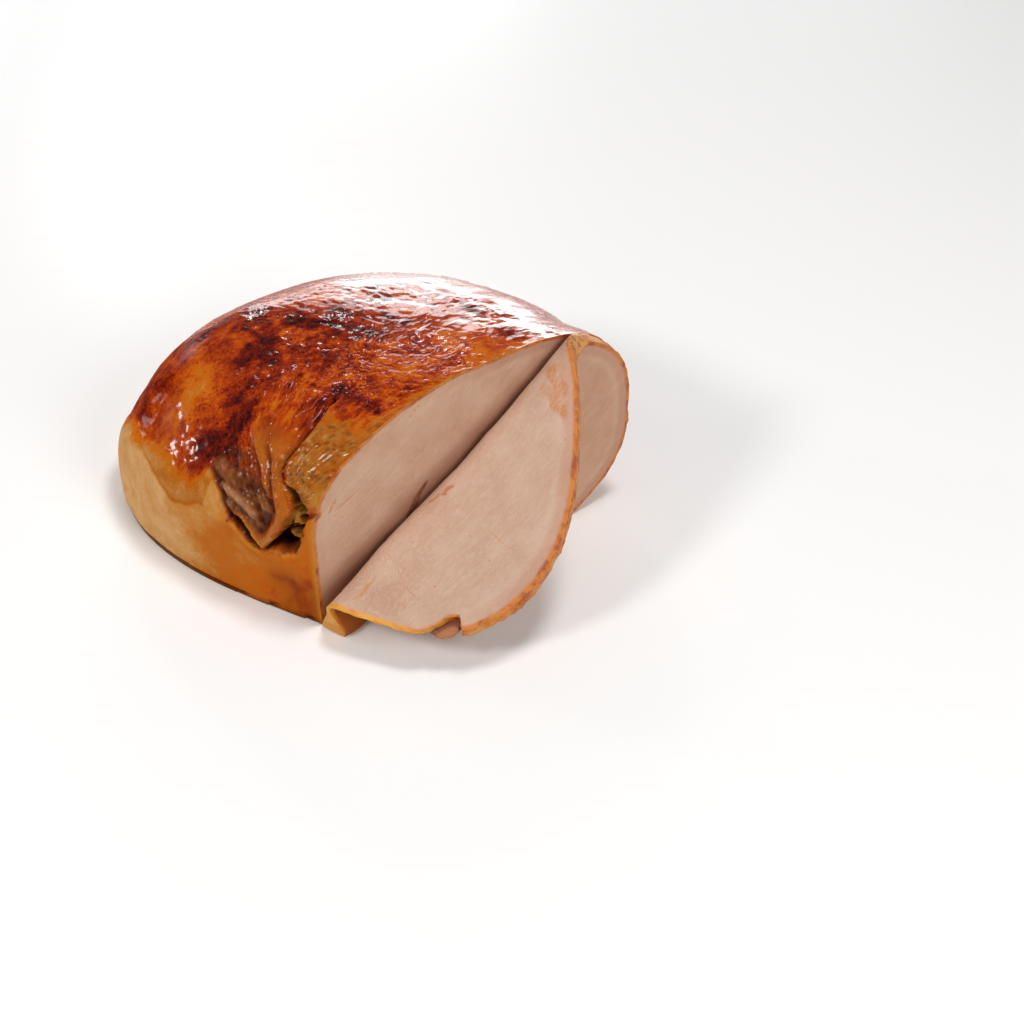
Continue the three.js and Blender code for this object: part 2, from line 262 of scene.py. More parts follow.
# What the skin shows is drawn on it by x and by the way over it from the near bottom edge.
skin = {
    # A torn sheet of skin and meat hangs over a gap in the side.
    "sheetRim": [(-45.5, 47.5), (-41, 46), (-35, 44.5), (-30, 40.5), (-25, 34)],
    "sheetRight": [(-25, 34), (-20, 39), (-15.3, 47), (-12.5, 54), (-12.5, 60), (-15.5, 65), (-21, 69)],
    "gapRight": [(-21, 69), (-13, 67.5), (-8, 65), (-5, 61.5), (-4, 56), (-5, 50), (-7, 43), (-11, 37),
                 (-15, 34), (-20, 34.5), (-26, 32)],
    "gapLow": [(-30, 33.5), (-34, 38.5), (-38, 41.5), (-42, 44), (-45.5, 47.5)],
    "slit": [(-59, 60), (-53, 55.5), (-49, 53), (-45, 48.5), (-42, 45)],
    "sideEdge": [(-59, 43), (-51, 43.5), (-45, 41), (-38, 42), (-35, 38), (-31, 34), (-25, 31), (-16, 32.5),
                 (-11, 36.5), (-7, 40), (-5.5, 45), (-4.8, 50), (-4, 56), (-2, 59), (3, 60)],
    "foldValley": [(-46, 90), (-40, 81), (-34, 75), (-29, 70), (-25, 65), (-22, 60), (-19.5, 55)],
    "tongueEdge": [(-56, 88), (-49, 80), (-42, 75), (-37, 70), (-31, 64), (-26, 60.5), (-21, 58), (-18, 51)],
    "foldRidge": [(-36, 90), (-31, 79), (-27, 73), (-22, 67), (-17.5, 60), (-15, 54), (-17.5, 46)],
    "crease": [(-22.5, 70), (-26, 74), (-28, 79), (-27.5, 86), (-27, 97), (-31, 109), (-30, 121)],
    "pinkRidge": [(-51, 57), (-46, 56), (-42, 54.5), (-36, 52), (-30, 48.5)],
    "greyArea": [(-60, 61), (-58, 70), (-53, 77), (-46, 78), (-40, 74), (-35, 69), (-30, 65), (-25, 62),
                 (-20.5, 58), (-18.5, 53), (-20.5, 46), (-24, 40), (-28, 40), (-34, 44), (-41, 45.5),
                 (-46, 50), (-50, 54), (-55, 57)],
    "edgeCrease": [(-5, 58), (-2, 59.5), (0, 60.5)],
    "cornerCrease": [(-10, 26), (-10.5, 20), (-10, 14), (-12, 7), (-16, 0)],
    "cornerCross": [(-20, 19), (-14, 20), (-9, 17), (-4, 19)],
    "brownEdgeX": [-150, -128, -115, -100, -88, -80, -74, -66, -61, -57, -48, -42],
    "brownEdgeOver": [30, 42, 46, 50, 52, 52, 49, 51, 56, 59, 60, 62],
    "yellowEdgeX": [-150, -128, -112, -102, -94, -82, -72, -65, -60, -52],
    "yellowEdgeOver": [30, 41, 44, 44, 42, 38.5, 37, 39.5, 42, 44],
    "fanCentre": (-22, 44),
    "pitDepth": (2.6, 6.6),  # at its left end, and how much more at its right
    # Darker and paler patches: x, way over, half length, half width, how much browner.
    "patches": [
        (-91, 118, 8, 6, 0.24), (-80, 116, 7, 5, 0.22), (-88, 105, 6, 7, 0.14), (-75, 103, 6, 5, 0.18),
        (-74, 90, 5, 6, 0.16), (-64, 94, 5, 5, 0.16), (-62, 84, 6, 8, 0.28), (-59, 71, 8, 8, 0.30),
        (-70, 67, 8, 6, 0.24), (-43, 69, 5, 4.5, 0.2), (-113, 122, 12, 7, 0.16), (-93, 140, 11, 5, 0.22),
        (-71, 149, 10, 5, 0.22), (-60, 153, 9, 5, 0.18), (-84, 157, 9, 6, 0.18), (-31, 119, 9, 4, 0.2),
        (-12, 117, 9, 3, 0.2), (-82, 179, 10, 5, 0.2), (-57, 170, 9, 5, 0.16), (-42, 177, 8, 4, 0.12),
        (-56, 134, 9, 5, 0.12), (-37, 108, 5, 8, 0.1), (-117, 98, 10, 4, 0.1), (-129, 80, 6, 24, 0.12),
        (-20, 109, 12, 6, 0.08), (-49, 214, 6, 3, 0.34), (-71, 206, 7, 3, 0.26), (-45, 201, 9, 3.5, 0.24),
        (-16, 193, 10, 3.5, 0.2), (-116, 58, 8, 7, 0.06), (-62, 130, 14, 14, 0.05),
        (-96, 82, 17, 10, -0.19), (-102, 95, 12, 8, -0.07), (-92, 63, 22, 8, -0.12),
        (-39, 155, 9, 6, -0.05), (-48, 138, 26, 24, 0.04), (-20, 152, 10, 10, -0.09),
        (-50, 98, 8, 16, -0.08), (-36, 80, 4, 10, -0.06), (-30, 170, 14, 8, -0.08),
    ],
    # Dark broken lines: places, half width, how much browner.
    "darkLines": [
        ([(-117, 110), (-108, 118), (-96, 120), (-84, 119), (-76, 117)], 1.7, 0.2),
        ([(-69, 135), (-61, 125), (-57, 116), (-56, 108)], 1.3, 0.22),
        ([(-47, 115), (-36, 118), (-27, 120), (-20, 118), (-8, 116)], 1.8, 0.26),
        ([(-98, 137), (-85, 144), (-70, 153), (-58, 152)], 2.0, 0.22),
        ([(-121, 84), (-120, 95), (-118, 103)], 1.0, 0.16),
        ([(-75, 96), (-70, 104), (-66, 112)], 1.2, 0.2),
        ([(-66, 78), (-64, 88), (-62, 98)], 1.4, 0.2),
    ],
    # Colours that are painted over the browning.
    # The torn sheet's colours, from the painted shade of its hollows to the grey of its raised streaks.
    "sheetShadesByRelief": [(0.045, 0.008, 0.003), (0.17, 0.050, 0.015), (0.29, 0.128, 0.054)],
    "ridgeColour": (0.42, 0.19, 0.09),
    "amber": (0.40, 0.115, 0.011),
    # Dark red: painted shade in the grooves, and the red of the tongue's streaks.
    "foldRedAndShade": (0.16, 0.013, 0.004),
    # Dark red of painted shade, in the slit under the sheet and along the base.
    "shadeRed": (0.085, 0.011, 0.004),
    "frillYellow": (0.52, 0.21, 0.022),
    "shredYellow": (0.36, 0.155, 0.022),
    # Painted shade inside the gap, and darker in its lower part.
    "pitShade": (0.10, 0.035, 0.012),
    "pitDeepShade": (0.028, 0.004, 0.003),
    # Dark brown of the painted shade in the near corner's creases.
    "cornerShadeBrown": (0.20, 0.032, 0.004),
}


def lineBell(x, over, line, offset, width):
    # 1 along a line drawn on the skin, falling to 0 beside it.
    return bell(lineDistance(x, over, line), offset, width)


def paintLayers(shape, layers):
    # Layers of colour, each with how much it covers, from the lowest to the uppermost.
    paint = np.zeros(shape + (4,))
    for colour, cover in layers:
        cover = np.clip(cover, 0, 1)[..., None]
        opaque = np.concatenate([np.broadcast_to(colour, shape + (3,)), np.ones(shape + (1,))], -1)
        paint = paint * (1 - cover) + opaque * cover
    return paint


def skinLooks(x, over, places, z, farness):
    # Relief of the skin in millimetres, and what colours it.
    shown = np.where(farness > 0.5, 0, 1)
    # The drawn lines are followed unevenly.
    wobble = cellNoise(places, 3.2, 11) * 0.9 + cellNoise(places, 6.5, 12) * 0.7
    wobble += cellNoise(places, 1.5, 13) * 0.5
    wobbleOver = cellNoise(places, 2.6, 14) * 0.9 + cellNoise(places, 1.4, 19) * 0.45
    outline = skin["sheetRim"] + skin["sheetRight"][1:] + skin["gapRight"][1:] + skin["gapLow"][:-1]
    gap = depthInside(x + wobble, over + wobbleOver, outline)
    pit = smooth(-0.35, 1.1, gap) * shown
    whole = 1 - pit

    # Beside the tear the skin is stretched, and its streaks fan out from the tear.
    centreX, centreOver = skin["fanCentre"]
    fan = np.arctan2(over - centreOver, x - centreX)
    fanReach = np.hypot(over - centreOver, x - centreX)
    fanAcross = fan * 46
    streaks = drawnPlaces(fanAcross, fanReach * 0.11, 3.0)
    stretched = smooth(-76, -50, x) * smooth(150, 108, over) * smooth(56, 68, over)

    crease = lineDistance(x, over + cellNoise(places, 5, 15) * 0.6, skin["crease"])
    lobeSide = smooth(-0.2, 3.5, crease) * smooth(56, 68, over) * smooth(128, 108, over)
    lobeSide *= smooth(-60, -30, x)

    lumps = layeredNoise(places, 4.6, 21, 3)
    grey = smooth(-1.6, 2.2, depthInside(x + wobble, over + wobbleOver, skin["greyArea"])) * shown
    grey *= smooth(82, 60, over + lumps * 6)
    # The torn sheet is streaked along its left rim.
    sheetPlace = drawnPlaces((0.75 * x - 0.66 * over) * 0.32, 0.66 * x + 0.75 * over, 7.0)
    sheetStreaks = layeredNoise(sheetPlace, 3.0, 62, 3)
    ridge = lineBell(x + wobble * 0.5, over, skin["pinkRidge"], 0, 1.9) * shown * smooth(58.5, 56, over)
    valley = lineBell(x + wobble * 0.25, over, skin["foldValley"], 0, 1.3) * shown * smooth(94, 74, over)
    hillock = lineBell(x, over, skin["foldRidge"], 0.6, 2.3) * shown * smooth(100, 74, over)
    tongue = smooth(-0.5, 1.8, -lineDistance(x, over, skin["tongueEdge"])) * smooth(44, 60, over)
    tongueSide = lineBell(x + wobble * 0.3, over, skin["tongueEdge"], 0, 1.2) * shown * smooth(86, 72, over)
    fromHole = -lineDistance(x, over, skin["sheetRight"])
    underRim = smooth(-0.4, 1.2, fromHole) * smooth(5.5, 2.5, fromHole) * smooth(64, 52, over) * (over > 33)
    rimAway = np.abs(lineDistance(x, over, skin["sheetRim"]))
    lowerRim = smooth(0, 0.6, -gap) * smooth(3.2, 1.2, rimAway) * (over > 33)
    tongue = np.clip(tongue * smooth(106, 80, over) * smooth(-58, -44, x) * (crease < 0), 0, 1) * shown
    sheetEdge = np.clip(np.maximum(underRim, lowerRim * smooth(-42, -33, x)), 0, 1) * shown
    slit = lineBell(x + wobble * 0.4, over + wobbleOver * 0.5, skin["slit"], -0.4, 1.2) * shown

    brownEdge = np.interp(x, skin["brownEdgeX"], skin["brownEdgeOver"])
    brownEdge = brownEdge + layeredNoise(places, 14, 16) * 2.6 + cellNoise(places, 3.5, 20) * 1.2
    yellowEdge = np.interp(x, skin["yellowEdgeX"], skin["yellowEdgeOver"]) + cellNoise(places, 5, 17) * 1.0
    edgeAway = -lineDistance(x + wobble * 0.6, over + wobbleOver * 0.6, skin["sideEdge"])
    aboveTear = smooth(-0.3, 0.3, edgeAway)
    overTear = np.where(x > -56, aboveTear, smooth(-6, 6, over - brownEdge))
    # Round the far end and behind, the skin stops a little above the base.
    lowSkin = 12 + 20 * smooth(62, 5, places[..., 1])
    skinAbove = smooth(-4, 7, z - lowSkin + layeredNoise(places, 16, 18) * 4)
    brown = np.where(farness > 0.5, 1, smooth(-142, -152, x)) * (skinAbove - overTear) + overTear
    brown = brown * np.where(farness > 0.5, 1, smooth(0, 2, over))
    aboveYellow = smooth(-1, 1.2, over - yellowEdge) * smooth(-52, -58, x) * (farness < 0.5)
    yellow = aboveYellow * (1 - brown) * smooth(-118, -82, x)
    # Beside the slit the bare side reaches up to the sheet.
    bareFlank = smooth(-0.4, 0.8, lineDistance(x, over, skin["slit"])) * smooth(62, 58, over)
    bareFlank *= (x > -60) * (x < -42)
    brown = brown * (1 - bareFlank * shown)

    shreds = smooth(0.0, 0.6, layeredNoise(places, 2.6, 30, 2) + 0.35)
    shreds = shreds * smooth(-18, -10, x) * smooth(37, 46, over) * smooth(69, 60, over) * pit
    farEnd = smooth(-112, -128, x)
    sunk = smooth(-60, -115, x) * smooth(-4, 3, over - brownEdge) * shown
    edgeCrease = lineBell(x, over + cellNoise(places, 2, 44) * 0.5, skin["edgeCrease"], 0, 1.1)
    edgeCrease *= shown * whole
    cornerCrease = lineBell(x + wobble, over, skin["cornerCrease"], 0, 2.4)
    cornerCrease = cornerCrease + 0.7 * lineBell(x, over + wobbleOver, skin["cornerCross"], 0, 2.0)
    cornerCrease *= smooth(-0.8, 0.6, lumps)
    fibres = ridges(cellNoise(streaks, 2.4, 22)) - 0.4
    # Wrinkles run at a slant to the cut: steeper halfway along the loaf than beside the cut face.
    slant = 0.42 + 0.7 * smooth(-30, -70, x)
    bent = layeredNoise(places, 18, 40) * 5
    wrinkleAcross = (over - slant * x + bent) / np.hypot(1, slant)
    wrinkleAlong = (x + slant * over) / np.hypot(1, slant)
    lying = drawnPlaces(wrinkleAlong * 0.3, wrinkleAcross, 1.0)
    topWrinkles = ridges(layeredNoise(lying, 1.9, 24, 2), 2.4) - 0.3
    lobeWrinkles = ridges(cellNoise(lying, 2.0, 45), 1.5) - 0.4
    # Beside the cut the top is smoother, with a soft wide shine.
    smoother = smooth(-88, -58, x) * smooth(158, 178, over)
    wrinkled = smooth(100, 134, over) * smooth(-146, -118, x) * brown * (1 - 0.72 * smoother)
    bumpy = 0.3 + 0.7 * smooth(-100, -76, x) * (1 - stretched * 0.55)
    bumpy *= 1 - 0.55 * np.maximum(wrinkled, smoother)
    lip = bell(over - yellowEdge, 0, 0.9) * smooth(-54, -60, x) * smooth(-112, -98, x) * shown

    # Relief: millimetres outward, and where.
    shallow, extra = skin["pitDepth"]
    forms = [
        (-(shallow + extra * smooth(-33, -22, x)), pit),
        (6.4 + 1.8 * cellNoise(places, 1.7, 43), shreds),
        (-1.4 + 0.7 * lumps + 1.1 * sheetStreaks, whole * grey),
        (1.7, whole * ridge),
        (2.0, whole * hillock),
        (-1.7, whole * valley),
        (1.1, whole * tongue),
        (-0.9, whole * tongueSide),
        (1.1, whole * sheetEdge),
        (-1.6, whole * slit),
        (1.1, whole * bell(edgeAway, -1.6, 2.2) * smooth(-60, -45, x) * shown),
        (2.0, lobeSide * smooth(-34, -10, x) * smooth(104, 76, over)),
        (-1.9, bell(crease, 0, 1.1) * smooth(121, 108, over) * shown),
        (-0.8, bell(crease, -5.2, 1.4) * smooth(104, 92, over) * (over > 70) * shown),
        (2.6 * farEnd - 4.0, sunk * smooth(80 - 16 * farEnd, 55 - 8 * farEnd, over)),
        (0.8, smooth(-70, -125, x) * (1 - farness)),
        (-1.2, edgeCrease),
        (-0.35, cornerCrease * shown),
        (0.5 * fibres + 0.45 * cellNoise(streaks * [1, 0.5, 1], 6, 23), whole * stretched * brown),
        (0.5 * topWrinkles, wrinkled * (0.7 + 0.5 * cellNoise(places, 16, 26))),
        (0.3 * lobeWrinkles, lobeSide * whole),
        (0.42 * layeredNoise(places, 4.2, 27, 2), whole * brown * (1 - grey) * bumpy),
        ((0.9 - 0.5 * smooth(-95, -120, x)) * layeredNoise(places, 26, 28, 2), smooth(0, 12, z)),
        (0.16 * layeredNoise(places, 7, 29), (1 - brown) * (1 - grey) * whole),
        (-0.5, whole * lip),
    ]
    relief = sum(height * where for height, where in forms)

    # Browning runs from pale meat at 0 through amber and orange to nearly black at 1.
    level = 0.605 + 0.08 * layeredNoise(places, 20, 31) + 0.09 * layeredNoise(places, 6, 32, 2)
    level += stretched * 0.08 * cellNoise(streaks * [1, 0.6, 1], 2.6, 33)
    # Wrinkle crests are painted paler than their hollows: painted light and shade along the wrinkles.
    level -= wrinkled * 0.13 * topWrinkles
    blotches = layeredNoise(places, 5, 42, 3)
    matt = np.zeros(x.shape)
    for patchX, patchOver, length, width, amount in skin["patches"]:
        spread = ((x - patchX) / length) ** 2 + ((over - patchOver) / width) ** 2
        level += amount * np.exp(-spread * (1 + 0.5 * lumps)) * (1 + 0.6 * blotches) * shown
        if patchOver > 185:
            matt += np.exp(-spread * (1 + 0.5 * lumps))
    broken = smooth(-0.5, 0.5, layeredNoise(places, 3.5, 46, 2))
    for line, width, amount in skin["darkLines"]:
        level += amount * lineBell(x + wobble * 0.6, over + wobbleOver, line, 0, width) * broken * shown
    edgeBand = bell(x + cellNoise(places, 6, 47) * 1.5, 0, 5) * smooth(62, 70, over) * smooth(205, 150, over)
    lobe = np.clip(lobeSide * smooth(-44, -28, x) * smooth(114, 98, over + 4 * blotches), 0, 1) * shown
    yellowed = np.clip(lobe + 0.75 * edgeBand * shown, 0, 1)
    level = level * (1 - yellowed) + (0.36 - 0.1 * lobe + 0.1 * layeredNoise(places, 3.4, 34, 2)) * yellowed
    level += 0.12 * bell(crease, 0, 1.2) * smooth(121, 108, over) * shown
    rim = smooth(2.6, 0.2, -x + cellNoise(places, 4, 35) * 1.2)
    level = level * (1 - rim) + (0.38 + 0.08 * cellNoise(places, 3, 36)) * rim

    # The bare side is browner towards the cut. It is pale behind.
    broad = layeredNoise(places, 12, 38)
    side = 0.06 + 0.26 * smooth(-80, -34, x + 8 * layeredNoise(places, 22, 37)) + 0.06 * broad
    side += 0.045 * layeredNoise(places, 3.4, 60, 2)
    side += 0.2 * smooth(-40, -10, x) * smooth(50, 20, over) * (0.7 + 0.4 * layeredNoise(places, 9, 39))
    side = np.clip(side, 0, 0.6)
    side = np.where(farness > 0.5, 0.12 + 0.05 * broad, side)
    yellowLevel = 0.24 + 0.07 * layeredNoise(places, 7, 48, 2)
    browning = brown * level + (1 - brown) * (side * (1 - yellow) + yellowLevel * yellow)
    browning += 0.14 * (1 - brown) * lip

    dimmed = 0.24 * lobe + 0.1 * edgeBand * (1 - lobe) + 0.12 * yellow
    dimmed += 0.3 * (1 - brown) * smooth(-30, -6, x) * smooth(34, 12, over) * shown
    # Painted contact shade: a dark red line along the base.
    contactShade = smooth(1.7, 0.2, z + 0.5 * cellNoise(places, 4, 49)) * shown * smooth(-130, -110, x)
    # The torn sheet is coloured by its own relief: near black in its hollows and greyer on its raised
    # streaks, painted shade and light over the sheet's own browns.
    tone = 0.4 + 0.45 * sheetStreaks + 0.2 * lumps + 0.25 * cellNoise(places, 1.6, 50)
    tone = np.clip(tone, 0, 1)[..., None]
    shadedHollow, brownMeat, greyMeat = np.array(skin["sheetShadesByRelief"])
    sheetShading = shadedHollow + (brownMeat - shadedHollow) * np.minimum(tone * 2, 1)
    sheetShading += (greyMeat - brownMeat) * np.clip(tone * 2 - 1, 0, 1)
    frill = bell(x, -1, 4.5) * smooth(63, 65, over) * smooth(78, 70, over) * whole * shown
    fringe = bell(gap, -0.9, 0.8) * (over < 45) * (x > -40) * shown
    # The near corner's creases, and a patch beside them, are painted dark brown: painted shade in the
    # creases.
    corner = np.clip(cornerCrease * 0.7 + bell(x, -17, 6) * bell(over, 19, 5) * 0.5, 0, 1)
    corner *= shown * (1 - brown)
    layers = [
        (skin["cornerShadeBrown"], corner * 0.75),
        (skin["shadeRed"], contactShade * 0.75),
        (sheetShading, grey * 0.95),
        (skin["ridgeColour"], ridge * 0.85),
        # The grooves beside the tongue, in the fold valley and at the cut's edge are painted dark red:
        # painted shade in the grooves. The same red streaks the tongue.
        (skin["foldRedAndShade"], tongueSide * 0.75),
        (skin["amber"], tongue * smooth(100, 76, over) * 0.8 * (1 - 0.6 * tongueSide)),
        (skin["foldRedAndShade"], tongue * np.clip(fibres, 0, 1) * 0.4),
        (skin["foldRedAndShade"], valley * 0.8),
        (skin["amber"], sheetEdge * 0.9),
        (skin["frillYellow"], frill * 0.7),
        (skin["foldRedAndShade"], edgeCrease * 0.9),
        (skin["frillYellow"], fringe * 0.55),
        (skin["frillYellow"], bell(x, 0, 1.5) * smooth(64, 58, over) * (z > 0.5) * shown * 0.8),
        # The slit under the sheet's rim is painted dark red: painted shade under the overhang.
        (skin["shadeRed"], slit * 0.92),
        # The gap's inside is painted dark: painted shade, darkest in its lower part.
        (skin["pitShade"], pit),
        (skin["pitDeepShade"], pit * smooth(64, 54, over)),
        (skin["shredYellow"], shreds * 1.3),
    ]
    glaze = 0.34 + 0.62 * smooth(154, 190, over) * (1 - 0.38 * smoother)
    glaze *= 1 - 0.85 * smooth(-105, -112, x) * smooth(90, 76, over)
    glaze *= (1 - 0.5 * grey) * (1 - 0.8 * np.clip(matt, 0, 1))
    looks = {
        "browning": np.clip(browning, 0, 0.84),
        "bare": (1 - brown) * (1 - 0.5 * yellow),
        "dimmed": np.clip(dimmed, 0, 0.8),
        "lobe": np.clip(lobe + 0.55 * edgeBand * shown, 0, 1) * whole,
        "paint": paintLayers(x.shape, layers),
        "pit": pit,
        "glaze": 0.1 * (1 - brown) + glaze * brown,
        "calm": np.clip(0.4 * lobe + 0.75 * tongue, 0, 0.8),
        "fanAcross": fanAcross,
        "fanReach": fanReach,
        "stretched": stretched * brown,
        "wrinkled": wrinkled,
        "wrinkleAcross": wrinkleAcross,
        "wrinkleAlong": wrinkleAlong,
    }
    return relief, looks


def makeRoast(materials):
    angles = loafAngles()
    shares = loafShares()
    angle, share = np.meshgrid(angles, shares)
    y, z = sectionPoint(angle, share)
    x = -loaf["length"] * share
    plain = np.stack([x, y, np.maximum(z, 0)], -1)

    steps = np.linalg.norm(np.diff(plain, axis=1), axis=2)
    over = np.concatenate([np.zeros((len(shares), 1)), np.cumsum(steps, axis=1)], axis=1)
    start = np.argmax(z > 0, axis=1)
    ring = np.arange(len(shares))
    crossing = z[ring, start] / (z[ring, start] - z[ring, start - 1])
    leaves = over[ring, start] + (over[ring, start - 1] - over[ring, start]) * crossing
    over = over - leaves[:, None]
    farness = smooth(0.1, 0.2, np.cos(angle)) * smooth(0.9, 0.6, np.sin(angle))

    along = np.gradient(plain, axis=0)
    around = np.gradient(plain, axis=1)
    normal = np.cross(along, around)
    normal /= np.linalg.norm(normal, axis=2, keepdims=True) + 1e-9
    outward = plain - np.array([0, 1, 0]) * (loaf["faceHalfWidth"] - loaf["sideShift"] * share[..., None])
    outward[..., 2] -= 30
    outward[..., 0] = 0
    normal *= np.where((normal * outward).sum(-1, keepdims=True) < 0, -1, 1)
    normal[0, :, 0] = 0

    relief, looks = skinLooks(x, over, plain, plain[..., 2], farness)
    ending = smooth(0.998, 0.93, share)
    onBase = smooth(0, 3, plain[..., 2])
    points = plain + normal * (relief * ending * onBase)[..., None]
    curl = loaf["baseCurl"] * (1 - smooth(0, 3.5, plain[..., 2])) * (z > 0)
    points[..., 1] += curl * -np.sign(np.cos(angle))
    points[..., 2] = np.maximum(points[..., 2], 0)
    points[..., 0] = np.minimum(points[..., 0], 0)

    # The cut face closes the front, in rings that follow its outline.
    rows, columns = angle.shape
    rim = points[0]
    middle = np.array([0, loaf["faceHalfWidth"], loaf["waistHeight"]])
    inward = 1 - np.linspace(0, 1, loaf["faceRings"] + 1)[1:-1] ** loaf["faceCrowding"]
    facePoints = middle + (rim - middle) * inward[:, None, None]
    faceSpot = np.concatenate([facePoints.reshape(-1, 3), middle[None]])
    away = outlineDistance(faceSpot[:, 1:], rim[:, 1:])
    faceSpot[:, 0] += (0.22 * layeredNoise(faceSpot, 9, 41) - 0.15) * smooth(0.5, 3, away)
    faceSpot[:, 0] = np.minimum(faceSpot[:, 0], 0)
    endPoint = [[-loaf["length"], loaf["faceHalfWidth"] - loaf["sideShift"], loaf["endWaistHeight"]]]

    # The rim is doubled, so that skin and meat each keep their own attributes there.
    allPoints = np.concatenate([points.reshape(-1, 3), faceSpot, endPoint])
    skinCount = rows * columns
    faceCount = len(faceSpot)
    faces = gridFaces(rows, columns)
    faceMaterials = [0] * len(faces)
    lastRow = (rows - 1) * columns
    endFaces = capFaces(lastRow, columns, skinCount + faceCount)
    faces += endFaces
    faceMaterials += [0] * len(endFaces)
    joining = [[i, (i + 1) % columns, skinCount + (i + 1) % columns, skinCount + i] for i in range(columns)]
    inner = gridFaces(len(facePoints), columns, skinCount)
    centre = capFaces(skinCount + (len(facePoints) - 1) * columns, columns, skinCount + faceCount - 1)
    for group in (joining, inner, centre):
        faces += group
        faceMaterials += [1] * len(group)

    attributes = {}
    for name, values in looks.items():
        onSkin = values.reshape(skinCount, -1)
        onFace = np.zeros((faceCount, onSkin.shape[1]))
        attributes[name] = np.concatenate([onSkin, onFace, onSkin[-1:]]).squeeze()
    alongCut, acrossCut = toFold(allPoints[:, 1], allPoints[:, 2])
    attributes["rimAway"] = np.concatenate([np.zeros(skinCount), away, [0]])
    attributes["alongCut"] = alongCut
    attributes["acrossCut"] = acrossCut
    attributes["flatY"] = allPoints[:, 1]
    attributes["flatZ"] = allPoints[:, 2]
    # Painted shade: the cut face is darkened towards the crevice under the folded slice.
    attributes["deep"] = smooth(14, 1, acrossCut) * smooth(-30, -6, acrossCut) * 0.9
    attributes["pinkish"] = 0.25 + 0.75 * smooth(70, 110, allPoints[:, 1])
    piece = makeObject("roastedBreast", allPoints, faces, attributes, materials, faceMaterials, sharpFrom=55)
    print("roasted breast:", len(faces), "faces")
    return piece


# The slice, as in the solid: flat sizes, then folded forward over a slanted line.
sliceForm = {
    "thickness": 8,
    "cutGap": 0.3,
    "foldStart": (2, 12.2),
    "foldEnd": (138, 90.3),
    "foldBow": 5.6,
    "foldAngles": (106, 109),
    "foldRadius": (6.4, 6.2, 8),
    "flapStretch": (1.25, 1.17, 1.22),
    "footSwell": 6,
    "footReach": 30,
    "footThickening": 4.5,
    "footRounding": 3.5,
    "notchDepth": 10,
    "notchLow": 52.5,
    "notchHigh": 69,
    "thinning": 0.78,  # how much thinner the low edge of the flap is
    "outlinePoints": 460,
    "faceRings": 66,
    "rimRows": 11,
}
foldRun = np.subtract(sliceForm["foldEnd"], sliceForm["foldStart"])
foldLength = np.hypot(*foldRun)
foldAlong = foldRun / foldLength


def toFold(y, z):
    # A place of the flat slice, along the fold line and across it.
    dy = y - sliceForm["foldStart"][0]
    dz = z - sliceForm["foldStart"][1]
    return dy * foldAlong[0] + dz * foldAlong[1], dz * foldAlong[0] - dy * foldAlong[1]


def fromFold(along, across):
    y = sliceForm["foldStart"][0] + along * foldAlong[0] - across * foldAlong[1]
    z = sliceForm["foldStart"][1] + along * foldAlong[1] + across * foldAlong[0]
    return y, z


def throughThree(values, k):
    # A smooth run through a first, a half-way and a last value.
    first, half, last = values
    return first * (1 - k) * (1 - 2 * k) + 4 * half * k * (1 - k) + last * k * (2 * k - 1)


def outlineDistance(spots, outline):
    # How far each spot of a cut lies from the cut's outline, the flat base left out.
    run = np.roll(outline, -1, axis=0) - outline
    runLength = (run**2).sum(1) + 1e-9
    onBase = 6.0 * ((outline[:, 1] < 0.5) & (np.roll(outline[:, 1], -1) < 0.5))
    found = []
    for some in np.array_split(spots, max(len(spots) // 800, 1)):
        start = some[:, None] - outline[None]
        k = np.clip((start * run).sum(-1) / runLength, 0, 1)
        apart = np.linalg.norm(start - k[..., None] * run, axis=2)
        found.append((apart + onBase).min(axis=1))
    return np.concatenate(found)


def notchAt(flatZ):
    # How deep the notch in the flap's low edge is there, from 0 to 1.
    notch = smooth(sliceForm["notchLow"], sliceForm["notchHigh"] - 3, flatZ)
    return notch * smooth(sliceForm["notchHigh"], sliceForm["notchHigh"] - 1.8, flatZ)


def slicePoint(flatY, flatZ, side, notched=True):
    # Where a point of the flat slice lies once it is folded. Side is -1 on the face that met the loaf.
    cutIn = sliceForm["notchDepth"] * notchAt(flatZ) * np.exp(-np.maximum(flatY, 0) / 13)
    notchedY = flatY + cutIn * notched
    front = (side + 1) / 2
    y = notchedY + sliceForm["footRounding"] * front * bell(flatY, 0, 5) * bell(flatZ, 0, 9)
    along, across = toFold(y, flatZ)
    k = np.clip(along / foldLength, 0, 1)
    hinge = -sliceForm["foldBow"] * np.sin(np.pi * k)
    radius = throughThree(sliceForm["foldRadius"], k)
    first, last = sliceForm["foldAngles"]
    angle = np.radians(first + (last - first) * k)
    past = np.maximum(across - hinge, 0)
    bend = np.minimum(past / radius, angle)
    straight = np.maximum(past - radius * angle, 0) * throughThree(sliceForm["flapStretch"], k)
    thin = smooth(20, 1, flatY) * smooth(7, 17, flatZ) * smooth(66, 52, flatZ) * sliceForm["thinning"]
    half = sliceForm["thickness"] * (front * (1 - thin) - 0.5)
    swell = sliceForm["footSwell"] * bell(np.maximum(along, 0), 0, sliceForm["footReach"])
    swell *= smooth(-13, 3, across)
    forward = radius * (1 - np.cos(bend)) + straight * np.sin(bend) + half * np.cos(bend)
    level = np.minimum(across, hinge) + radius * np.sin(bend) + straight * np.cos(bend)
    movedY, movedZ = fromFold(along, level - half * np.sin(bend))
    foot = sliceForm["footThickening"] * front * bell(y, 7, 12) * smooth(14, 2, flatZ)
    x = sliceForm["cutGap"] + sliceForm["thickness"] / 2 + swell + foot + forward
    return np.stack([x, movedY, np.maximum(movedZ, 0)], -1)


